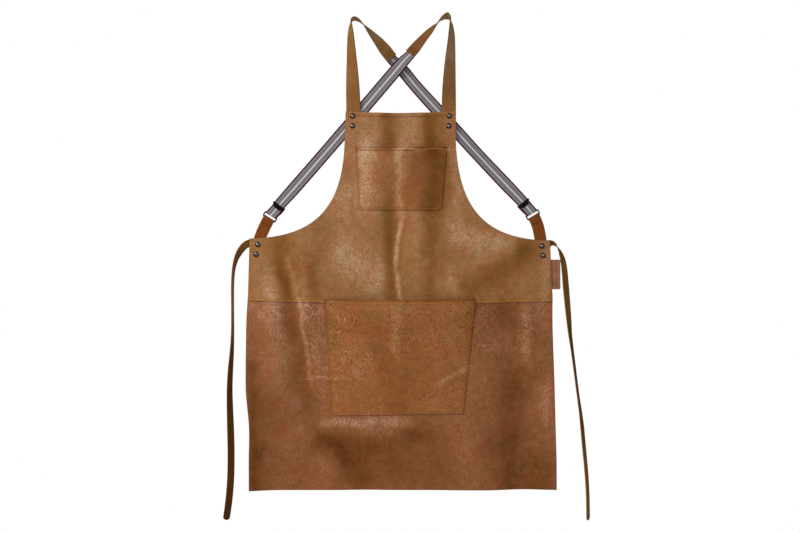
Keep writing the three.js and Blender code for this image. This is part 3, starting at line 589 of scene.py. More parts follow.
# Shoulder straps: tail behind the bib, up to the loop on edge, over it and down to the elastic
strap = {
    "width": 30, "thick": 2.0, "soft": 0.7, "columns": 11, "steps": 9,
    "routes": {
        "left": [
            (-98.3, 2.3, -242, 0), (-98, 2.3, -215, 0), (-97.9, 2.3, -188, 0), (-98.7, 2.8, -159.6, -11),
            (-99.8, 3.5, -128, -26), (-101.5, 4.5, -86, -45), (-103, 5, -54.6, -56), (-103.9, 5.5, -31, -65),
            (-104.1, 6, -12, -78), (-102.6, 6.3, -2.6, -91), (-96.4, 6.6, 1.8, -97), (-87.4, 7, -1.4, -93),
            (-74.6, 7.8, -12.6, -82), (-60.7, 8.8, -28.2, -64), (-44.6, 9.8, -46.4, -45),
            (-30.5, 10.6, -64.4, -29), (-17.4, 11.5, -80.9, -32),
        ],
        "right": [
            (102.7, 2.3, -242, 0), (102.7, 2.3, -215, 0), (102.7, 2.3, -188, 0), (102.9, 2.8, -159.6, 13),
            (103.8, 3.4, -128, 26), (105.8, 4, -86, 43), (107.8, 4.5, -54.6, 55.5), (108.7, 5, -31, 64),
            (107.8, 5.3, -9, 77), (105.4, 5.5, 2.2, 94), (99.8, 5.7, 6.8, 111), (90, 5.8, 3.4, 97),
            (77.4, 5.7, -8.4, 82), (62.8, 5.4, -24.4, 62), (48, 5, -41, 52), (34.2, 4.6, -57.6, 41),
            (21.5, 4.2, -72.2, 39),
        ],
    },
    "endPatch": 17,  # doubled end that holds the elastic
    "endShade": -0.12, "ripple": 0.05, "rippleMm": 19,
    # stitches of the doubled end: from the middle, and across and along the band, from its end
    "box": {"half": 12, "across": (-3, -15.5), "along": (-14.5, -4)},
    # share of the length, and the tone there: painted light and shade where a leg turns to and from the
    # lamps, and wear
    "wearAndPaintedLight": {"left": ((0.0, 0.3, 0.42, 0.58, 0.8, 0.9, 1.0), (0.0, -0.05, -0.10, 0.14, 0.60, 0.12, -0.02)),
             "right": ((0.0, 0.25, 0.42, 0.55, 0.8, 1.0), (-0.08, -0.04, 0.24, 0.90, -0.05, -0.20))},
}


def strapTone(side):
    # painted light and shade where the legs turn to and from the lamps, and uneven wear; the doubled ends are
    # darker
    def tone(run):
        share = run / run[-1]
        end = np.where(run[-1] - run < strap["endPatch"], strap["endShade"], 0.0)
        ripple = strap["ripple"] * np.sin(run / strap["rippleMm"])
        return np.interp(share, *strap["wearAndPaintedLight"][side]) + end + ripple
    return tone


def makeStraps():
    for side, route in strap["routes"].items():
        piece = bandPiece("strap_band_" + side, stationsAlong(route), strap,
                          (grain["strap"], flesh["strap"], flesh["waxed"]), strapTone(side))
        standFor(piece, "strap_leather", "shoulder_strap_" + side)


makeStraps()
print("shoulder straps done")


# Elastics, sliders, rings and tabs down to the waist corners
fittings = {
    "left": {"slider": (-256.3, -395, -37), "ring": (-273.2, -415.6, -32)},
    "right": {"slider": (261.4, -389, 40), "ring": (279.2, -411.3, 31)},
    "ringDepth": 3.5, "sliderDepth": 1.4, "sliderReach": 6.8, "barOffset": 5.0,
}
elastic = {
    "width": 27.2, "pinched": 25, "thick": 1.5, "soft": 0.5, "columns": 15, "steps": 7, "under": -2.15,
    "wrap": 2.1, "slip": 2.6, "slipAtRing": 0.6,
    "routes": {
        "left": [(8, 4, -87.8, 24), (-6, 3.8, -104.2, 8), (-31.5, 4.6, -134, 0), (-99.5, 7.4, -213.3, 0),
                 (-168, 6.6, -293, 0), (-222, 3.4, -355.4, 0)],
        "right": [(-4.5, 13.2, -95.3, -22), (10.5, 13.2, -112, -10), (30.5, 11.4, -137, -14),
                  (97.5, 7.6, -211.5, 0), (164, 6.6, -285, -12), (225.5, 3.4, -350.5, 0)],
    },
}
tab = {
    "width": 25, "thick": 1.8, "soft": 0.6, "columns": 11, "steps": 12, "wrap": 2.25, "spread": 1.0,
    "front": 2.2, "rear": 4.4, "stitched": 17, "stitchHalf": 10.5,
    # tones of the folded end and the rest, and the line of the stitches
    "folded": 0.02, "plain": 0.06, "lineShade": 0.30, "lineReach": 1.3,
    "routes": {
        "left": [(-303.8, -502), (-302, -493), (-298.4, -474), (-292.4, -455), (-285, -438)],
        "right": [(301.2, -503.5), (300, -495), (297.4, -477), (294.2, -456), (290, -436)],
    },
}


def slopeAxes(slope):
    angle = math.radians(slope)
    return np.array([math.cos(angle), 0, math.sin(angle)]), np.array([math.sin(angle), 0, -math.cos(angle)])


def onAxis(place, axis, distance, depth):
    return np.array([place[0], depth, place[1]]) + axis * distance


def wrapStations(centre, radius, outward, across):
    # half a turn round a bar, from its front to its back
    return [(centre + radius * (outward * math.sin(a) - np.array([0, math.cos(a), 0])), across)
            for a in np.radians(range(0, 181, 30))]


def makeElastics():
    for side, other in (("left", "right"), ("right", "left")):
        start = []
        for point, across, along in stationsAlong(strap["routes"][other])[-2:]:
            start.append((point + unit(np.cross(across, along)) * elastic["under"], across))
        route = [(point, across) for point, across, along in stationsAlong(elastic["routes"][side])]
        slider, ring = fittings[side]["slider"], fittings[side]["ring"]
        sliderAcross, sliderDown = slopeAxes(slider[2])
        ringAcross, ringDown = slopeAxes(ring[2])
        reach, front = fittings["sliderReach"], fittings["sliderDepth"]
        past = [(onAxis(slider, sliderDown, -reach, front), -sliderAcross),
                (onAxis(slider, sliderDown, reach, front), -sliderAcross)]
        bar = onAxis(ring, ringDown, -fittings["barOffset"], fittings["ringDepth"])
        loop = wrapStations(bar, elastic["wrap"], ringDown, -ringAcross)
        # the returning layer has slipped a little to the inner side
        inner = sliderAcross * (elastic["slip"] if side == "left" else -elastic["slip"])
        rear = fittings["ringDepth"] + elastic["wrap"]
        back = [(onAxis(slider, sliderDown, reach, rear) + inner * elastic["slipAtRing"], -sliderAcross),
                (onAxis(slider, sliderDown, -reach, rear) + inner, -sliderAcross)]
        free, held = start + route, past + loop + back
        pinch = [1.0] * len(free) + [elastic["pinched"] / elastic["width"]] * len(held)
        piece = bandPiece("elastic_band_" + side, free + held, elastic, (elasticWeave,) * 3, pinch=pinch)
        standFor(piece, "striped_elastic", "elastic_strap_" + side)


def tabStations(side):
    rows, ring = tab["routes"][side], fittings[side]["ring"]
    across, down = slopeAxes(ring[2])
    front, rear = [], []
    for i, (x, z) in enumerate(rows):
        spread = tab["spread"] if i == len(rows) - 1 else 0
        front.append((x, tab["front"] - spread / 2, z, 0))
        rear.append((x, tab["rear"] + spread, z, 0))
    bar = onAxis(ring, down, fittings["barOffset"], fittings["ringDepth"])
    loop = wrapStations(bar, tab["wrap"], -down, across)
    return [s[:2] for s in stationsAlong(front)] + loop + [s[:2] for s in stationsAlong(rear)][::-1]


def tabTone(run):
    fromRing = run[-1] / 2 - run
    line = np.exp(-((fromRing - tab["stitched"]) / tab["lineReach"]) ** 2)
    return np.where(fromRing < tab["stitched"], tab["folded"], tab["plain"]) - tab["lineShade"] * line


def makeTabs():
    for side in tab["routes"]:
        piece = bandPiece("tab_band_" + side, tabStations(side), tab,
                          (grain["tab"], flesh["tie"], flesh["edge"]), tabTone)
        standFor(piece, "tab_leather", "waist_tab_" + side)


makeElastics()
makeTabs()
print("elastics and tabs done")


# Hides: the same cut and drape as the solids, mm
cut = {
    "thick": 1.8,
    "seat": 0.4,
    "bibTop": {"left": -114, "right": 117, "z": -193.5, "sag": 8.5},
    "armholeLeft": ((-116.3, -254), (-119, -398), (-180, -459.3), (-316, -461)),
    "armholeRight": ((117.1, -254), (122.5, -390), (170.5, -464), (315, -465.2)),
    "seamLeft": (-319.5, -591.5),
    "seamRight": (320.8, -593),
    "seamSag": 11,
    # skirt edges from the lap to the hem: z, left x, right x
    "skirtEdges": ((-577.5, -319.5, 320.8), (-640, -323, 320.6), (-770, -323, 325), (-860, -315.6, 327.4),
                   (-925, -316.3, 329.2), (-989.8, -316, 329.6)),
}

# Rolls of the drape: from x, z to x, z, spread and lift towards the front
rolls = [
    (-50, -180, -53, -405, 19, 4.5),
    (44, -180, 43, -430, 23, 5.0),
    (-18, -430, -20, -585, 12, -4.5),
    (38, -445, 40, -585, 17, 3.5),
    (-258, -525, -262, -600, 20, 4.0),
    (-200, -520, -206, -600, 15, 3.5),
    (240, -478, 130, -556, 22, 5.0),
    (-229, -612, -195, -785, 17, -6.0),
    (-195, -785, -80, -960, 24, -6.0),
    (-262, -620, -256, -760, 22, 5.0),
    (-150, -858, 15, -852, 22, 5.0),
    (232, -620, 236, -770, 22, -5.0),
    (262, -800, 262, -1010, 30, -11.0),
    (150, -900, 160, -1010, 40, 6.0),
    (-325, -800, -325, -1010, 30, 17.0),
]
rollFade = 42
# Finer creases, with the same columns
creases = [
    (0, -440, -8, -494, 4, 1.1),
    (-8, -494, -3, -573, 4, 0.9),
    (-231, -515, -222, -578, 6, 1.0),
    (-212, -600, -187, -750, 4, 0.7),
    (-187, -754, -155, -754, 3.5, 0.5),
    (137, -737, 92, -760, 5, 0.6),
    (262, -615, 265, -705, 8, 1.0),
    (-149, -850, -60, -846, 7, 1.2),
    (-36, -850, 25, -873, 10, -1.4),
]
creaseFade = 14
calmReach = 48
rivetPlaces = {
    "bib_left_upper": (-99.5, -204.3, "strap"), "bib_left_lower": (-99.9, -224.5, "strap"),
    "bib_right_upper": (103.3, -203.9, "strap"), "bib_right_lower": (102.1, -224.9, "strap"),
    "waist_left_upper": (-298.6, -474, "tie"), "waist_left_lower": (-302.2, -494.6, "tab"),
    "waist_right_upper": (297.8, -477, "tie"), "waist_right_lower": (300.3, -497.3, "tab"),
}


def rollSum(table, fade, x, z):
    lift = np.zeros_like(x)
    for x0, z0, x1, z1, spread, height in table:
        length = math.hypot(x1 - x0, z1 - z0)
        alongX, alongZ = (x1 - x0) / length, (z1 - z0) / length
        run = (x - x0) * alongX + (z - z0) * alongZ
        off = (x - x0) * alongZ - (z - z0) * alongX
        past = np.maximum(np.maximum(-run, run - length), 0)
        lift += height * np.exp(-(off / spread) ** 2 / 2 - (past / fade) ** 2 / 2)
    return lift


# Waves of a hide: size, mm, seed and height
waves = {
    "wanderX": ((44, 1.7, 1.0), (14, 5.2, 0.4)),
    "wanderZ": ((38, 9.4, 1.0),),
    "uneven": ((42, 3.1, 0.55), (18, 8.7, 0.3)),  # the slow unevenness of a real hide, under a millimetre
    "patches": ((26, 4.4, 0.5),),
}
# How far the lines of each kind wander, mm
wanderReach = {"creases": 4, "wearAndPaintedLight": 9, "crumples": 14, "folds": 5}
rubbing = {"reach": 7.0, "gain": 0.35, "range": (-0.14, 0.16)}


def waveSum(kind, x, z):
    total = np.zeros_like(x)
    for size, seed, height in waves[kind]:
        flat = [noise.noise((px / size, pz / size, seed)) for px, pz in zip(x.ravel(), z.ravel())]
        total += height * np.array(flat).reshape(x.shape)
    return total


def wander(x, z, kind):
    # no line in a hide runs straight
    reach = wanderReach[kind]
    return x + reach * waveSum("wanderX", x, z), z + reach * waveSum("wanderZ", x, z)


def hideDepth(x, z):
    calm = np.ones_like(x)
    for placeX, placeZ, clamped in rivetPlaces.values():
        calm *= 1 - np.exp(-(np.hypot(x - placeX, z - placeZ) / calmReach) ** 4)
    lift = rollSum(rolls, rollFade, x, z) + rollSum(creases, creaseFade, *wander(x, z, "creases"))
    return -(lift + waveSum("uneven", x, z)) * calm


def rubOf(x, z, depthAt):
    # rolled-out leather pales and hollows stay deep
    reach = rubbing["reach"]
    around = depthAt(x + reach, z) + depthAt(x - reach, z) + depthAt(x, z + reach) + depthAt(x, z - reach)
    return np.clip((around / 4 - depthAt(x, z)) * rubbing["gain"], *rubbing["range"])


# Rubbed and deep places, with painted light and painted shade on the folds: from x, z to x, z, spread and
# tone
wearAndPaintedLight = [
    # bib, above and below the chest pocket
    (-69, -202, -69, -262, 14, 0.12), (-29, -208, -30, -262, 15, -0.16), (17, -204, 17, -262, 17, 0.10),
    (66, -210, 66, -262, 16, -0.18), (-29, -410, -28, -440, 14, -0.05), (65, -415, 65, -460, 13, -0.05),
    (-112, -360, -125, -415, 16, 0.12), (116, -300, 118, -400, 10, 0.10),
    # chest pocket
    (-73, -280, -73, -385, 14, 0.22), (-31, -285, -30, -385, 15, 0.03), (0, -280, -1, -385, 7, 0.20),
    (42, -280, 40, -385, 14, -0.06), (70, -285, 68, -385, 20, -0.22),
    # waist
    (-248, -464, -250, -525, 12, -0.20), (-248, -530, -230, -584, 10, -0.16),
    (-286, -540, -280, -570, 20, 0.10), (-231, -525, -223, -574, 7, 0.10),
    (112, -548, 120, -576, 9, 0.12), (-197, -510, -172, -584, 9, -0.12),
    (-130, -490, -60, -540, 30, 0.19), (-24, -465, -17, -580, 8, -0.09), (0, -440, -8, -494, 3.5, 0.09),
    (-8, -494, -3, -573, 3.5, 0.08), (63, -440, 62, -570, 12, -0.07), (120, -455, 210, -475, 20, 0.19),
    (275, -488, 140, -560, 19, -0.17), (306, -515, 308, -585, 6, 0.12),
    # skirt
    (-275, -625, -272, -690, 22, 0.08), (-197, -842, -84, -968, 15, -0.12),
    (-270, -890, -200, -965, 40, -0.04), (-186, -820, -165, -880, 17, -0.06),
    (-162, -888, -63, -901, 18, -0.10), (-63, -901, 52, -867, 20, -0.10),
    (-212, -600, -187, -750, 3, 0.09), (-187, -754, -155, -754, 2.5, 0.09),
    (-180, -600, -170, -740, 18, 0.05), (-149, -850, -19, -853, 10, 0.11), (-35, -842, 0, -852, 9, 0.10),
    (25, -873, 30, -880, 24, -0.08), (-310, -602, -285, -630, 10, 0.08),
    (-230, -600, -165, -608, 8, 0.09), (-120, -945, 80, -945, 34, -0.14),
    (227, -890, 228, -985, 16, -0.15), (300, -930, 300, -985, 24, -0.14),
    (268, -880, 290, -925, 18, 0.03), (138, -880, 142, -960, 14, 0.04), (220, -615, 222, -640, 22, -0.16),
    (265, -615, 265, -705, 7, 0.07), (235, -735, 232, -860, 40, -0.08), (309, -777, 309, -836, 8, 0.14),
    (-312, -735, -308, -985, 12, -0.26), (180, -900, 300, -960, 45, -0.10),
    # skirt pocket
    (-60, -665, -30, -715, 18, -0.10), (-13, -755, -10, -815, 20, -0.11),
    (-100, -690, -80, -730, 22, 0.08), (137, -737, 92, -760, 4, 0.08), (92, -760, 88, -764, 5, 0.08),
    (-6, -640, -8, -740, 5, 0.05),
    # turned edges that catch the light
    (-114, -194.6, -90, -196.4, 1.6, 0.22), (92, -196.4, 117, -194.6, 1.6, 0.22),
    (22, -273.6, 93, -272, 1.6, 0.30),
]
wearAndPaintedLightFade = 18

# Where the hide is crumpled into wrinkles: from x, z to x, z, spread and how much
crumples = [
    # skirt, under the waist seam, beside the pocket and over the ridge below it
    (-310, -610, -165, -610, 34, 0.4), (-190, -620, -175, -745, 24, 0.3), (170, -610, 310, -612, 50, 0.6),
    (225, -650, 250, -760, 44, 0.4), (-160, -850, 40, -856, 20, 0.3), (290, -780, 300, -840, 18, 0.3),
    # skirt pocket, most at its upper left
    (-140, -610, -40, -640, 46, 0.5), (-130, -680, -60, -760, 40, 0.3), (20, -640, 130, -660, 46, 0.5),
    (60, -770, 110, -800, 30, 0.3),
]
crumpleFade = 40
crumpleRest, crumpleRange = 0.6, (0.6, 1.4)


# rubbed and deep leather together with the painted light and shade on the folds
def wearAndPaintedLightOf(x, z):
    return rollSum(wearAndPaintedLight, wearAndPaintedLightFade, *wander(x, z, "wearAndPaintedLight"))


def crumpleOf(x, z):
    patches = np.clip(1 + waveSum("patches", x, z), *crumpleRange)
    return (crumpleRest + rollSum(crumples, crumpleFade, *wander(x, z, "crumples"))) * patches


def edgeDistance(x, z, border):
    best = np.full(x.shape, 1e9)
    for px, pz in border:
        best = np.minimum(best, np.hypot(x - px, z - pz))
    return best


hideEdge = {"round": 0.35, "segments": 2, "angle": 50}


def hidePiece(name, look, x, z, form, thick, trim=None):
    # form gives the drape; trim gives how far hems and stitch lines step off it, and how close a line is
    y = form(x, z)
    # the patina holds painted light and shade on the folds as well as rubbed and deep leather
    patinaAndPaintedLight = wearAndPaintedLightOf(x, z)
    rub = rubOf(x, z, form)
    if trim:
        step, line = trim(x, z)
        y = y + step
        patinaAndPaintedLight = patinaAndPaintedLight - seam["shade"] * line
        rub = rub * (1 - np.clip(line, 0, 1))
    rows, columns = x.shape
    index = np.arange(rows * columns).reshape(rows, columns)
    faces = np.stack([index[:-1, :-1], index[1:, :-1], index[1:, 1:], index[:-1, 1:]], -1).reshape(-1, 4)
    mesh = bpy.data.meshes.new(name)
    mesh.from_pydata((np.stack([x, y, z], -1).reshape(-1, 3) * mm).tolist(), [], faces.tolist())
    flat = np.stack([x, z], -1)
    rim = np.concatenate([flat[0], flat[-1], flat[:, 0], flat[:, -1]])
    setAttribute(mesh, "fromEdge", edgeDistance(x, z, rim) * mm)
    setAttribute(mesh, "roll", rub)
    setAttribute(mesh, "patinaAndPaintedLight", patinaAndPaintedLight)
    setAttribute(mesh, "crumple", crumpleOf(x, z))
    edge = flesh["waxed"] if look == "chest" else flesh["edge"]
    for material in (grain[look], flesh["hide"], edge):
        mesh.materials.append(material)
    piece = linkObject(name, mesh)
    body = piece.modifiers.new("body", "SOLIDIFY")
    body.thickness = thick * mm
    body.offset = 0
    body.material_offset = 1
    body.material_offset_rim = 2
    softEdge = piece.modifiers.new("soft edge", "BEVEL")
    softEdge.width = hideEdge["round"] * mm
    softEdge.segments = hideEdge["segments"]
    softEdge.limit_method = "ANGLE"
    softEdge.angle_limit = math.radians(hideEdge["angle"])
    applyModifiers(piece)
    smoothShade(piece)
    return piece


def rowGrid(left, right, sags, columns):
    # rows run from the left border to the right one, each with its own sag
    s = np.linspace(0, 1, columns)[None, :]
    x = left[:, :1] + (right[:, :1] - left[:, :1]) * s
    z = left[:, 1:] + (right[:, 1:] - left[:, 1:]) * s - np.array(sags)[:, None] * 2 * s * (1 - s)
    return x, z


def saggedLine(left, right, sag, x):
    s = (x - left[0]) / (right[0] - left[0])
    return left[1] + (right[1] - left[1]) * s - sag * 2 * s * (1 - s)


def cornerTuck(corner, fromEnd):
    # how far a rounded corner draws the side in
    return corner - np.sqrt(corner ** 2 - np.clip(corner - fromEnd, 0, corner) ** 2)


# Stitch lines: how deep and wide they draw the hide in, how much darker it is there, and where and how
# softly a turned hem ends past them
seam = {"depth": 0.35, "reach": 0.8, "shade": 0.20, "past": 0.8, "soft": 0.35}


def nearLine(distance, reach=seam["reach"]):
    return np.exp(-(distance / reach) ** 2)


# Bib: hem line under the top edge, seam line over the lower one
bib = {
    "hemLine": 8.0, "hemTurn": 0.5, "seamLine": 3.0, "columns": 150,
    "hemRun": (-91, 95), "seamRuns": ((-318, -160.5), (160.5, 319)),  # where the stitches run, x
    # rows of the mesh: close ones over the hem, plain ones to the armhole, then down to the seam by shares
    "hemRows": (0, 0.8, 2.5, 5, 7, 8, 9, 11, 15), "plainFrom": 19, "plainRows": 11, "armRows": 84,
    "lowRows": (0.03, 0.93, 30), "seamRows": (0.955, 0.97, 0.977, 0.984, 0.993, 1),
}


def bibTopZ(x):
    top = cut["bibTop"]
    return saggedLine((top["left"], top["z"]), (top["right"], top["z"]), top["sag"], x)


def bibSeamZ(x):
    return saggedLine(cut["seamLeft"], cut["seamRight"], cut["seamSag"], x)


def hemStep(fromEdge, line, height):
    # the turned hem ends in a step just past its stitches
    past = (fromEdge - line - seam["past"]) / seam["soft"]
    return height / (1 + np.exp(np.clip(past, -40, 40)))


def bibTrim(x, z):
    fromTop, fromSeam = bibTopZ(x) - z, z - bibSeamZ(x)
    lines = nearLine(fromTop - bib["hemLine"]) + nearLine(fromSeam - bib["seamLine"])
    return seam["depth"] * lines - hemStep(fromTop, bib["hemLine"], bib["hemTurn"]), lines


def bibDepth(x, z):
    return hideDepth(x, z) + bibTrim(x, z)[0]


def makeBib():
    top = cut["bibTop"]
    down = np.concatenate([np.linspace(*bib["lowRows"]), bib["seamRows"]])
    sides = []
    for cornerX, arm, foot in ((top["left"], cut["armholeLeft"], cut["seamLeft"]),
                               (top["right"], cut["armholeRight"], cut["seamRight"])):
        start, end, corner = np.array([cornerX, top["z"]]), np.array(arm[0]), np.array(arm[-1])
        tall = start[1] - end[1]
        upper = np.concatenate([bib["hemRows"], np.linspace(bib["plainFrom"], tall, bib["plainRows"])]) / tall
        sides.append(np.concatenate([start + (end - start) * upper[:, None],
                                     bezier(arm, bib["armRows"])[1:],
                                     corner + (np.array(foot) - corner) * down[:, None]]))
    left, right = sides
    share = np.linspace(0, 1, len(left))
    sags = top["sag"] * (1 - share) + cut["seamSag"] * share
    x, z = rowGrid(left, right, sags, bib["columns"])
    return hidePiece("bib_hide", "bib", x, z, hideDepth, cut["thick"], bibTrim)


bibHide = standFor(makeBib(), "bib_hide", "bib_panel")
print("bib done")


# Skirt: its top edge is lapped behind the bib
skirt = {"columns": 156, "steps": 24, "behind": 2.2}


def skirtDepth(x, z):
    return hideDepth(x, z) + skirt["behind"]


def makeSkirt():
    edges = cut["skirtEdges"]
    left = splinePoints([(row[1], row[0]) for row in edges], skirt["steps"])
    right = splinePoints([(row[2], row[0]) for row in edges], skirt["steps"])
    sags = cut["seamSag"] * np.linspace(1, 0, len(left))
    x, z = rowGrid(left, right, sags, skirt["columns"])
    return hidePiece("skirt_hide", "skirt", x, z, skirtDepth, cut["thick"])


skirtHide = standFor(makeSkirt(), "skirt_hide", "skirt_panel")
print("skirt done")


# Patch pockets: mouth and foot, how far the mouth stands open, and where the stitches run
pockets = {
    "chest": {"mouth": (-93.7, 98.7), "mouthZ": -268.5, "sag": 4, "foot": (-87.4, 86.2),
              "footZ": (-402, -402), "belly": 12, "step": 2.6, "behind": 0.0, "hem": 6.6, "hemTurn": 0.7,
              "inset": 3.6, "folds": [(-58, -262, -60, -395, 16, 2.2), (14, -262, 12, -395, 13, 2.2)]},
    "skirt": {"mouth": (-158.6, 158.6), "mouthZ": -588, "sag": 4, "foot": (-143, 132.5),
              "footZ": (-833, -829), "belly": 14, "step": 3.6, "behind": 2.2, "hem": 7.4, "hemTurn": 0.7,
              "inset": 4.0, "folds": [(-6, -610, -10, -770, 10, 2.0), (-45, -640, -20, -790, 18, -2.5)]},
}
# What both share: corner, where the lap over the waist seam begins and ends, how far lines keep clear of
# an edge, the dark lip of the mouth, and how far stitches stay from a corner
patch = {"corner": 5, "lapRamp": (-655, -600), "clear": 2, "lipShade": 1.5, "lipReach": 1.8, "cornerGap": 3}


def pocketEdges(kind, z):
    up = np.clip((z - kind["footZ"][0]) / (kind["mouthZ"] - kind["footZ"][0]), 0, 1)
    left = kind["foot"][0] + (kind["mouth"][0] - kind["foot"][0]) * up
    right = kind["foot"][1] + (kind["mouth"][1] - kind["foot"][1]) * up
    return up, left, right


def pocketForm(kind, x, z):
    up, left, right = pocketEdges(kind, z)
    side = np.clip((2 * x - left - right) / (right - left), -1, 1)
    free = (1 - side ** 2) * np.sin(up * math.pi / 2)
    belly = (kind["belly"] + rollSum(kind["folds"], rollFade, *wander(x, z, "folds"))) * free
    start, end = patch["lapRamp"]
    ramp = np.clip((z - start) / (end - start), 0, 1)
    overSeam = kind["behind"] * ramp * ramp * (3 - 2 * ramp)
    return hideDepth(x, z) * (1 - free) + kind["behind"] - overSeam - cut["thick"] - cut["seat"] - belly


def pocketTrim(kind, x, z):
    # folded hem at the mouth, and the lines where the stitches draw the patch down
    left, right = pocketEdges(kind, z)[1:]
    fromMouth = pocketMouthZ(kind, x) - z
    fromSide = np.minimum(x - left, right - x)
    fromFoot = z - pocketFootZ(kind, x)
    lines = nearLine(fromMouth - kind["hem"])
    lines = lines + nearLine(fromSide - kind["inset"]) * (fromFoot > patch["clear"])
    lines = lines + nearLine(fromFoot - kind["inset"]) * (fromSide > patch["clear"])
    step = seam["depth"] * lines - hemStep(fromMouth, kind["hem"], kind["hemTurn"])
    return step, lines + patch["lipShade"] * nearLine(fromMouth, patch["lipReach"])


def pocketDepth(kind, x, z):
    return pocketForm(kind, x, z) + pocketTrim(kind, x, z)[0]


def pocketMouthZ(kind, x):
    left, right = kind["mouth"]
    return saggedLine((left, kind["mouthZ"]), (right, kind["mouthZ"]), kind["sag"], x)


def pocketFootZ(kind, x):
    left, right = kind["foot"]
    return saggedLine((left, kind["footZ"][0]), (right, kind["footZ"][1]), 0, x)


def makePocket(name, look, kind):
    height = kind["mouthZ"] - kind["footZ"][0]
    near, hem, inset = seam["reach"], kind["hem"], kind["inset"]
    # rows and columns lie closer at the edges and on both sides of the stitches
    topTrims = [0, 0.5, 1.5, 4, hem - near, hem, hem + near, hem + near + 1, 12]
    footTrims = [0, 0.4, 1, 1.9, inset - near, inset, inset + near, 6, 9]
    sideTrims = np.array([0, 0.5, 1.5, inset - near, inset, inset + near, 6, 9])
    middle = np.linspace(topTrims[-1], height - footTrims[-1], round(height / kind["step"]))
    fall = np.concatenate([topTrims[:-1], middle, height - np.array(footTrims[:-1])[::-1]])
    up, left, right = pocketEdges(kind, kind["mouthZ"] - fall)
    tuck = cornerTuck(patch["corner"], height - fall)
    left, right = (left + tuck)[:, None], (right - tuck)[:, None]
    wide = right - left
    inner = np.linspace(0, 1, round((kind["mouth"][1] - kind["mouth"][0]) / kind["step"]))[None, 1:-1]
    offsets = np.concatenate([np.tile(sideTrims, (len(fall), 1)),
                              sideTrims[-1] + inner * (wide - 2 * sideTrims[-1]), wide - sideTrims[::-1]], 1)
    x = left + offsets
    s = offsets / wide
    tilt = (kind["footZ"][1] - kind["footZ"][0]) * (1 - up)[:, None] * s
    z = kind["mouthZ"] - fall[:, None] - kind["sag"] * up[:, None] * 2 * s * (1 - s) + tilt
    return hidePiece(name, look, x, z, lambda px, pz: pocketForm(kind, px, pz), cut["thick"],
                     lambda px, pz: pocketTrim(kind, px, pz))


chestPatch = standFor(makePocket("chest_patch", "chest", pockets["chest"]), "bib_hide", "chest_pocket")
skirtPatch = standFor(makePocket("skirt_patch", "pocket", pockets["skirt"]), "skirt_hide", "skirt_pocket")
print("pockets done")


# Side label: a folded slip of leather, bare, its two layers held by one line of stitches
label = {"left": 303, "right": 337, "top": -505.5, "foot": -568, "corner": 3, "thick": 2.0, "behind": 2.3,
         "fold": 7.5, "stitchEnd": 4, "threadLift": 0.1,
         "cornerRows": (0, 0.3, 0.9, 1.8, 3), "plainFrom": 6, "plainRows": 18,
         "columns": ((0, 0.68, 10), (0.72, 0.82, 7), (0.86, 1, 6))}  # shares, closest at the stitches


def labelForm(x, z):
    return hideDepth(x, z) + label["behind"]


def labelTrim(x, z):
    line = nearLine(label["right"] - x - label["fold"])
    return seam["depth"] * line, line


def labelDepth(x, z):
    return labelForm(x, z) + labelTrim(x, z)[0]


def makeLabel():
    tall, ends = label["top"] - label["foot"], np.array(label["cornerRows"])
    plain = np.linspace(label["plainFrom"], tall - label["plainFrom"], label["plainRows"])
    drop = np.concatenate([ends, plain, tall - ends[::-1]])
    tuck = cornerTuck(label["corner"], np.minimum(drop, tall - drop))[:, None]
    s = np.concatenate([np.linspace(*part) for part in label["columns"]])
    left, right = label["left"] + tuck, label["right"] - tuck
    x = left + (right - left) * s
    z = label["top"] - drop[:, None] + 0 * x
    return hidePiece("label_slip", "label", x, z, labelForm, label["thick"], labelTrim)


labelSlip = standFor(makeLabel(), "label_leather", "side_label")
print("label done")


# Metal fittings, each shaped once in the front plane
ringShape = {"wide": 27.5, "tall": 10.0, "corner": 1.5, "wire": 2.1, "leg": 2.8}
sliderShape = {"wide": 28.8, "top": 5.2, "bar": 4.4, "tongue": 20.0, "drop": 5.6, "taper": 0.8, "thick": 1.6,
               "post": 1.6, "postLength": 5.0, "postDepth": 0.65, "back": 2.1, "front": -2.65,
               "rounding": 0.4}
rivetShape = {
    "sides": 28,
    # radius and rise of the dome's rings over the hide
    "dome": [(0.8, 3.18), (1.9, 3.08), (3.0, 2.82), (3.9, 2.40), (4.7, 1.76), (5.3, 1.0), (5.62, 0.4),
             (5.6, 0.08), (5.3, 0.0)],
    "shank": 1.9, "back": 4.4, "backThick": 1.2, "gap": 1.2, "clear": 0.3, "soft": 0.3, "lip": 0.4,
    "pin": 1.0,
}
layerBack = {"strap": 3.3, "tab": 5.3, "tie": 7.7}


def settle(piece):
    pick(piece)
    bpy.ops.object.transform_apply(location=True, rotation=True, scale=True)


def shapeRing():
    deselectAll()
    bpy.ops.mesh.primitive_plane_add(size=1, rotation=(math.pi / 2, 0, 0))
    ring = bpy.context.object
    ring.scale = (ringShape["wide"] * mm, ringShape["tall"] * mm, 1)
    settle(ring)
    bpy.ops.object.mode_set(mode="EDIT")
    bpy.ops.mesh.select_all(action="SELECT")
    bpy.ops.mesh.bevel(affect="VERTICES", offset=ringShape["corner"] * mm, segments=6)
    bpy.ops.mesh.delete(type="ONLY_FACE")
    bpy.ops.object.mode_set(mode="OBJECT")
    bpy.ops.object.convert(target="CURVE")
    ring.data.bevel_depth = ringShape["wire"] / 2 * mm
    ring.data.bevel_resolution = 4
    bpy.ops.object.convert(target="MESH")
    # the legs are stouter than the two bars
    inner = (ringShape["wide"] - ringShape["wire"]) / 2 * mm
    for vertex in bpy.context.object.data.vertices:
        past = abs(vertex.co.x) - inner
        if past > 0:
            vertex.co.x = math.copysign(inner + past * ringShape["leg"] / ringShape["wire"], vertex.co.x)
    return bpy.context.object


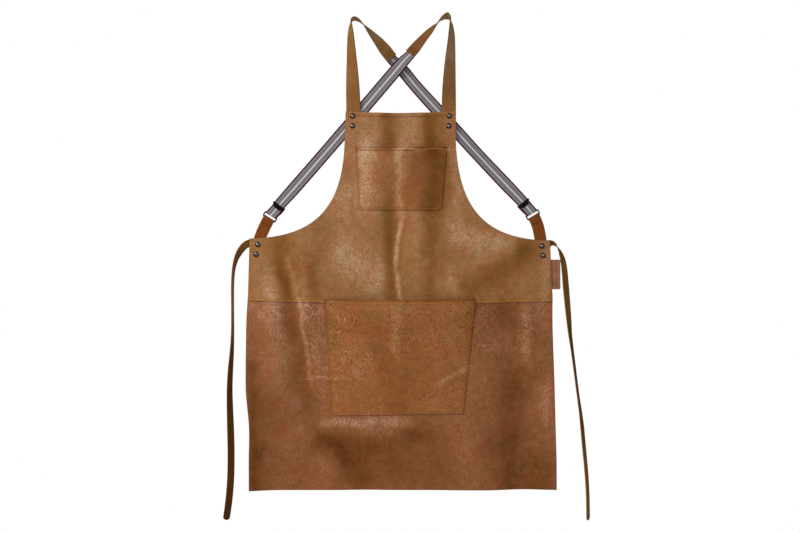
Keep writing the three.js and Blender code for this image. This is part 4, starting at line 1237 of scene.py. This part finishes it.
def shapeSlider():
    deselectAll()
    wide, bar, top = sliderShape["wide"], sliderShape["bar"], sliderShape["top"]
    bpy.ops.mesh.primitive_plane_add(size=1, location=(0, sliderShape["front"] * mm, (top - bar / 2) * mm),
                                     rotation=(math.pi / 2, 0, 0))
    slider = bpy.context.object
    slider.scale = (wide * mm, bar * mm, 1)
    settle(slider)
    bpy.ops.object.mode_set(mode="EDIT")
    bpy.ops.mesh.select_mode(type="EDGE")
    bpy.ops.mesh.select_all(action="SELECT")
    bpy.ops.mesh.subdivide(number_cuts=2)
    bpy.ops.object.mode_set(mode="OBJECT")
    lowest, half = (top - bar) * mm, sliderShape["tongue"] / 2 * mm
    # the middle of the lower edge carries the tongue
    for vertex in slider.data.vertices:
        if abs(vertex.co.x) < wide / 4 * mm:
            vertex.co.x = math.copysign(half, vertex.co.x)
    for face in slider.data.polygons:
        face.select = False
    for vertex in slider.data.vertices:
        vertex.select = False
    for edge in slider.data.edges:
        ends = [slider.data.vertices[i].co for i in edge.vertices]
        edge.select = all(abs(end.z - lowest) < 1e-5 and abs(end.x) < half + 1e-5 for end in ends)
    bpy.ops.object.mode_set(mode="EDIT")
    bpy.ops.mesh.extrude_edges_move(TRANSFORM_OT_translate={"value": (0, 0, -sliderShape["drop"] * mm)})
    bpy.ops.transform.resize(value=(sliderShape["taper"], 1, 1))
    bpy.ops.mesh.select_all(action="SELECT")
    bpy.ops.mesh.extrude_region_move(TRANSFORM_OT_translate={"value": (0, sliderShape["thick"] * mm, 0)})
    bpy.ops.object.mode_set(mode="OBJECT")
    # back bar on a post at each end
    post, back, depth = sliderShape["post"], sliderShape["back"], sliderShape["postDepth"]
    end, leg = (wide - post) / 2, (post, sliderShape["postLength"], post)
    for placeX, placeY, size in ((0, back, (wide, back, post)), (-end, depth, leg), (end, depth, leg)):
        bpy.ops.mesh.primitive_cube_add(size=1, location=(placeX * mm, placeY * mm, (top - bar / 2) * mm))
        bpy.context.object.scale = tuple(s * mm for s in size)
        bpy.ops.object.transform_apply(location=True, rotation=True, scale=True)
        slider.select_set(True)
        bpy.context.view_layer.objects.active = slider
        bpy.ops.object.join()
    faceOutwards(slider)
    rounding = slider.modifiers.new("rounding", "BEVEL")
    rounding.width = sliderShape["rounding"] * mm
    rounding.segments = 3
    applyModifiers(slider)
    return slider


def shapeRivet(clamped):
    deselectAll()
    rows = [(radius, -rivetShape["gap"] - rise) for radius, rise in rivetShape["dome"]]
    back, rim = layerBack[clamped] + rivetShape["clear"], rivetShape["back"]
    end = back + rivetShape["backThick"]
    shank, soft = rivetShape["shank"], rivetShape["soft"]
    rows += [(shank, rows[-1][1]), (shank, back), (rim - soft, back), (rim, back + soft), (rim, end - soft),
             (rim - rivetShape["lip"], end), (rivetShape["pin"], end)]
    bpy.ops.mesh.primitive_circle_add(
        vertices=rivetShape["sides"], radius=rows[0][0] * mm, fill_type="NGON",
        location=(0, rows[0][1] * mm, 0), rotation=(math.pi / 2, 0, 0))
    rivet = bpy.context.object
    settle(rivet)
    bpy.ops.object.mode_set(mode="EDIT")
    bpy.ops.mesh.select_mode(type="EDGE")
    bpy.ops.mesh.select_all(action="SELECT")
    bpy.ops.mesh.region_to_loop()
    for before, after in zip(rows, rows[1:]):
        rise = (after[1] - before[1]) * mm
        bpy.ops.mesh.extrude_edges_move(TRANSFORM_OT_translate={"value": (0, rise, 0)})
        size = after[0] / before[0]
        bpy.ops.transform.resize(value=(size, 1, size), center_override=(0, after[1] * mm, 0))
    bpy.ops.mesh.edge_face_add()
    bpy.ops.object.mode_set(mode="OBJECT")
    faceOutwards(rivet)
    # the crown is the dome's top, painted pale as a highlight and as rubbed plating
    spread = np.array([math.hypot(vertex.co.x, vertex.co.z) for vertex in rivet.data.vertices])
    setAttribute(rivet.data, "crownWearAndHighlight", 1 - spread / spread.max())
    return rivet


def placeCopy(model, name, x, depth, z, slope, material, slotName, node):
    piece = linkObject(name, model.data.copy())
    piece.location = (x * mm, depth * mm, z * mm)
    piece.rotation_euler = (0, -math.radians(slope), 0)
    settle(piece)
    piece.data.materials.clear()
    piece.data.materials.append(material)
    smoothShade(piece, 38)
    standFor(piece, slotName, node)


def makeFittings():
    ring, slider = shapeRing(), shapeSlider()
    for side in ("left", "right"):
        x, z, slope = fittings[side]["ring"]
        placeCopy(ring, "wire_ring_" + side, x, fittings["ringDepth"], z, slope, blackSteel, "black_steel",
                  "ring_" + side)
        x, z, slope = fittings[side]["slider"]
        placeCopy(slider, "strap_slider_" + side, x, fittings["sliderDepth"], z, slope, blackSteel,
                  "black_steel", "slider_" + side)
    models = {clamped: shapeRivet(clamped) for clamped in layerBack}
    for place, (x, z, clamped) in rivetPlaces.items():
        placeCopy(models[clamped], "dome_rivet_" + place, x, 0, z, 0, gunmetal, "gunmetal",
                  "rivet_" + place)
    for model in (ring, slider, *models.values()):
        bpy.data.objects.remove(model)


makeFittings()
print("fittings done")


# Stitches: one stitch is shaped once, then laid along each seam
stitch = {"length": 3.6, "gap": 1.0, "thick": 1.0, "sides": 6, "sink": 0.4,
          "bend": 0.3, "tip": 0.4, "tipSize": 0.6, "proud": 0.12, "reach": 0.8}
linePoints = 200  # points of a seam on a hide


def shapeStitch():
    deselectAll()
    length, half = stitch["length"], stitch["thick"] / 2
    bpy.ops.mesh.primitive_cylinder_add(vertices=stitch["sides"], radius=half, depth=length,
                                        rotation=(0, math.pi / 2, 0))
    model = bpy.context.object
    settle(model)
    bpy.ops.object.mode_set(mode="EDIT")
    for side in (-1, 1):
        bpy.ops.mesh.select_all(action="SELECT")
        bpy.ops.mesh.bisect(plane_co=(side * length * stitch["bend"], 0, 0), plane_no=(1, 0, 0))
    bpy.ops.object.mode_set(mode="OBJECT")
    # both ends dip into the leather
    for vertex in model.data.vertices:
        if abs(vertex.co.x) > length * stitch["tip"]:
            vertex.co.y *= stitch["tipSize"]
            vertex.co.z = vertex.co.z * stitch["tipSize"] - stitch["sink"]
    points = np.array([vertex.co[:] for vertex in model.data.vertices])
    faces = [tuple(face.vertices) for face in model.data.polygons]
    bpy.data.objects.remove(model)
    return points, faces


stitchModel = shapeStitch()


def onHide(x, z, depthAt):
    # points on the grain side of a hide, and which way it faces there
    step = 0.4
    slopeX = (depthAt(x + step, z) - depthAt(x - step, z)) / (2 * step)
    slopeZ = (depthAt(x, z + step) - depthAt(x, z - step)) / (2 * step)
    facing = unit(np.stack([slopeX, -np.ones_like(x), slopeZ], -1))
    return np.stack([x, depthAt(x, z), z], -1) + facing * cut["thick"] / 2, facing


def seamPiece(name, lines, material, thin=1.0):
    model, modelFaces = stitchModel
    points, faces = [], []
    for line, facing in lines:
        run = runAlong(line)
        count = max(int(run[-1] // (stitch["length"] + stitch["gap"])), 1)
        for middle in (np.arange(count) + 0.5) * run[-1] / count:
            at, before, after = (atRun(middle + shift * stitch["reach"], run, line) for shift in (0, -1, 1))
            up = unit(atRun(middle, run, facing))
            along = unit(after - before)
            side = unit(np.cross(up, along))
            base = len(points) * len(model)
            across, rise = model[:, 1:2] * thin, model[:, 2:] * thin + stitch["proud"]
            points.append(at + model[:, :1] * along + across * side + rise * up)
            faces += [tuple(base + i for i in face) for face in modelFaces]
    mesh = bpy.data.meshes.new(name)
    mesh.from_pydata((np.concatenate(points) * mm).tolist(), [], faces)
    mesh.materials.append(material)
    piece = linkObject(name, mesh)
    faceOutwards(piece)
    smoothShade(piece, 60)
    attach(piece, "root")
    return piece


def bandLine(stations, kind, origin, runs, sides):
    # a line on a band: runs are measured from a share of its length, and sides from its middle
    centres, across, outward, run = bandSections(stations, kind["steps"])
    at = run[-1] * origin + np.linspace(*runs, 12)
    middle, width, facing = (atRun(at, run, rows) for rows in (centres, across, outward))
    return middle + np.linspace(*sides, 12)[:, None] * width + facing * kind["thick"] / 2, facing


def pocketLines(kind):
    def depthAt(px, pz):
        return pocketDepth(kind, px, pz)

    inset, gap, (left, right) = kind["inset"], patch["cornerGap"], kind["mouth"]
    x = np.linspace(left + inset, right - inset, linePoints)
    mouth = onHide(x, pocketMouthZ(kind, x) - kind["hem"], depthAt)
    x = np.linspace(kind["foot"][0] + inset + gap, kind["foot"][1] - inset - gap, linePoints)
    foot = onHide(x, pocketFootZ(kind, x) + inset, depthAt)
    z = np.linspace(kind["mouthZ"] - kind["hem"] - gap, kind["footZ"][0] + inset, linePoints)
    left, right = pocketEdges(kind, z)[1:]
    return mouth, [onHide(left + inset, z, depthAt), onHide(right - inset, z, depthAt), foot]


def makeSeams():
    x = np.linspace(*bib["hemRun"], linePoints)
    hem = onHide(x, bibTopZ(x) - bib["hemLine"], bibDepth)
    made = {"bib": [seamPiece("bib_hem_stitching", [hem], thread["brown"], 0.8)]}
    lines = []
    for ends in bib["seamRuns"]:
        x = np.linspace(*ends, linePoints)
        lines.append(onHide(x, bibSeamZ(x) + bib["seamLine"], bibDepth))
    made["bib"].append(seamPiece("waist_stitching", lines, thread["ochre"], 1.15))
    mouth, sides = pocketLines(pockets["chest"])
    made["chest"] = [seamPiece("chest_pocket_mouth_stitching", [mouth], thread["brown"]),
                     seamPiece("chest_pocket_side_stitching", sides, thread["tan"], 0.9)]
    mouth, sides = pocketLines(pockets["skirt"])
    made["skirt"] = [seamPiece("skirt_pocket_mouth_stitching", [mouth], thread["ochre"]),
                     seamPiece("skirt_pocket_side_stitching", sides, thread["tan"], 0.7)]
    lines, box = [], strap["box"]
    half = box["half"]
    for route in strap["routes"].values():
        stations = stationsAlong(route)
        lines += [bandLine(stations, strap, 1, (at, at), (-half, half)) for at in box["across"]]
        lines += [bandLine(stations, strap, 1, box["along"], (side, side)) for side in (-half, half)]
    seamPiece("strap_end_stitching", lines, thread["tan"], 0.8)
    at, half = -tab["stitched"], tab["stitchHalf"]
    lines = [bandLine(tabStations(side), tab, 0.5, (at, at), (-half, half)) for side in tab["routes"]]
    seamPiece("tab_stitching", lines, thread["brown"], 0.9)
    z = np.linspace(label["top"] - label["stitchEnd"], label["foot"] + label["stitchEnd"], 60)
    x = np.full_like(z, label["right"] - label["fold"])
    line, facing = onHide(x, z, labelDepth)
    lifted = line + facing * label["threadLift"]
    made["label"] = [seamPiece("label_stitching", [(lifted, facing)], thread["brown"], 0.8)]
    return made


seams = makeSeams()
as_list(seams["bib"])
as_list(seams["chest"])
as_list(seams["skirt"])
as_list(seams["label"])
print("stitching done")
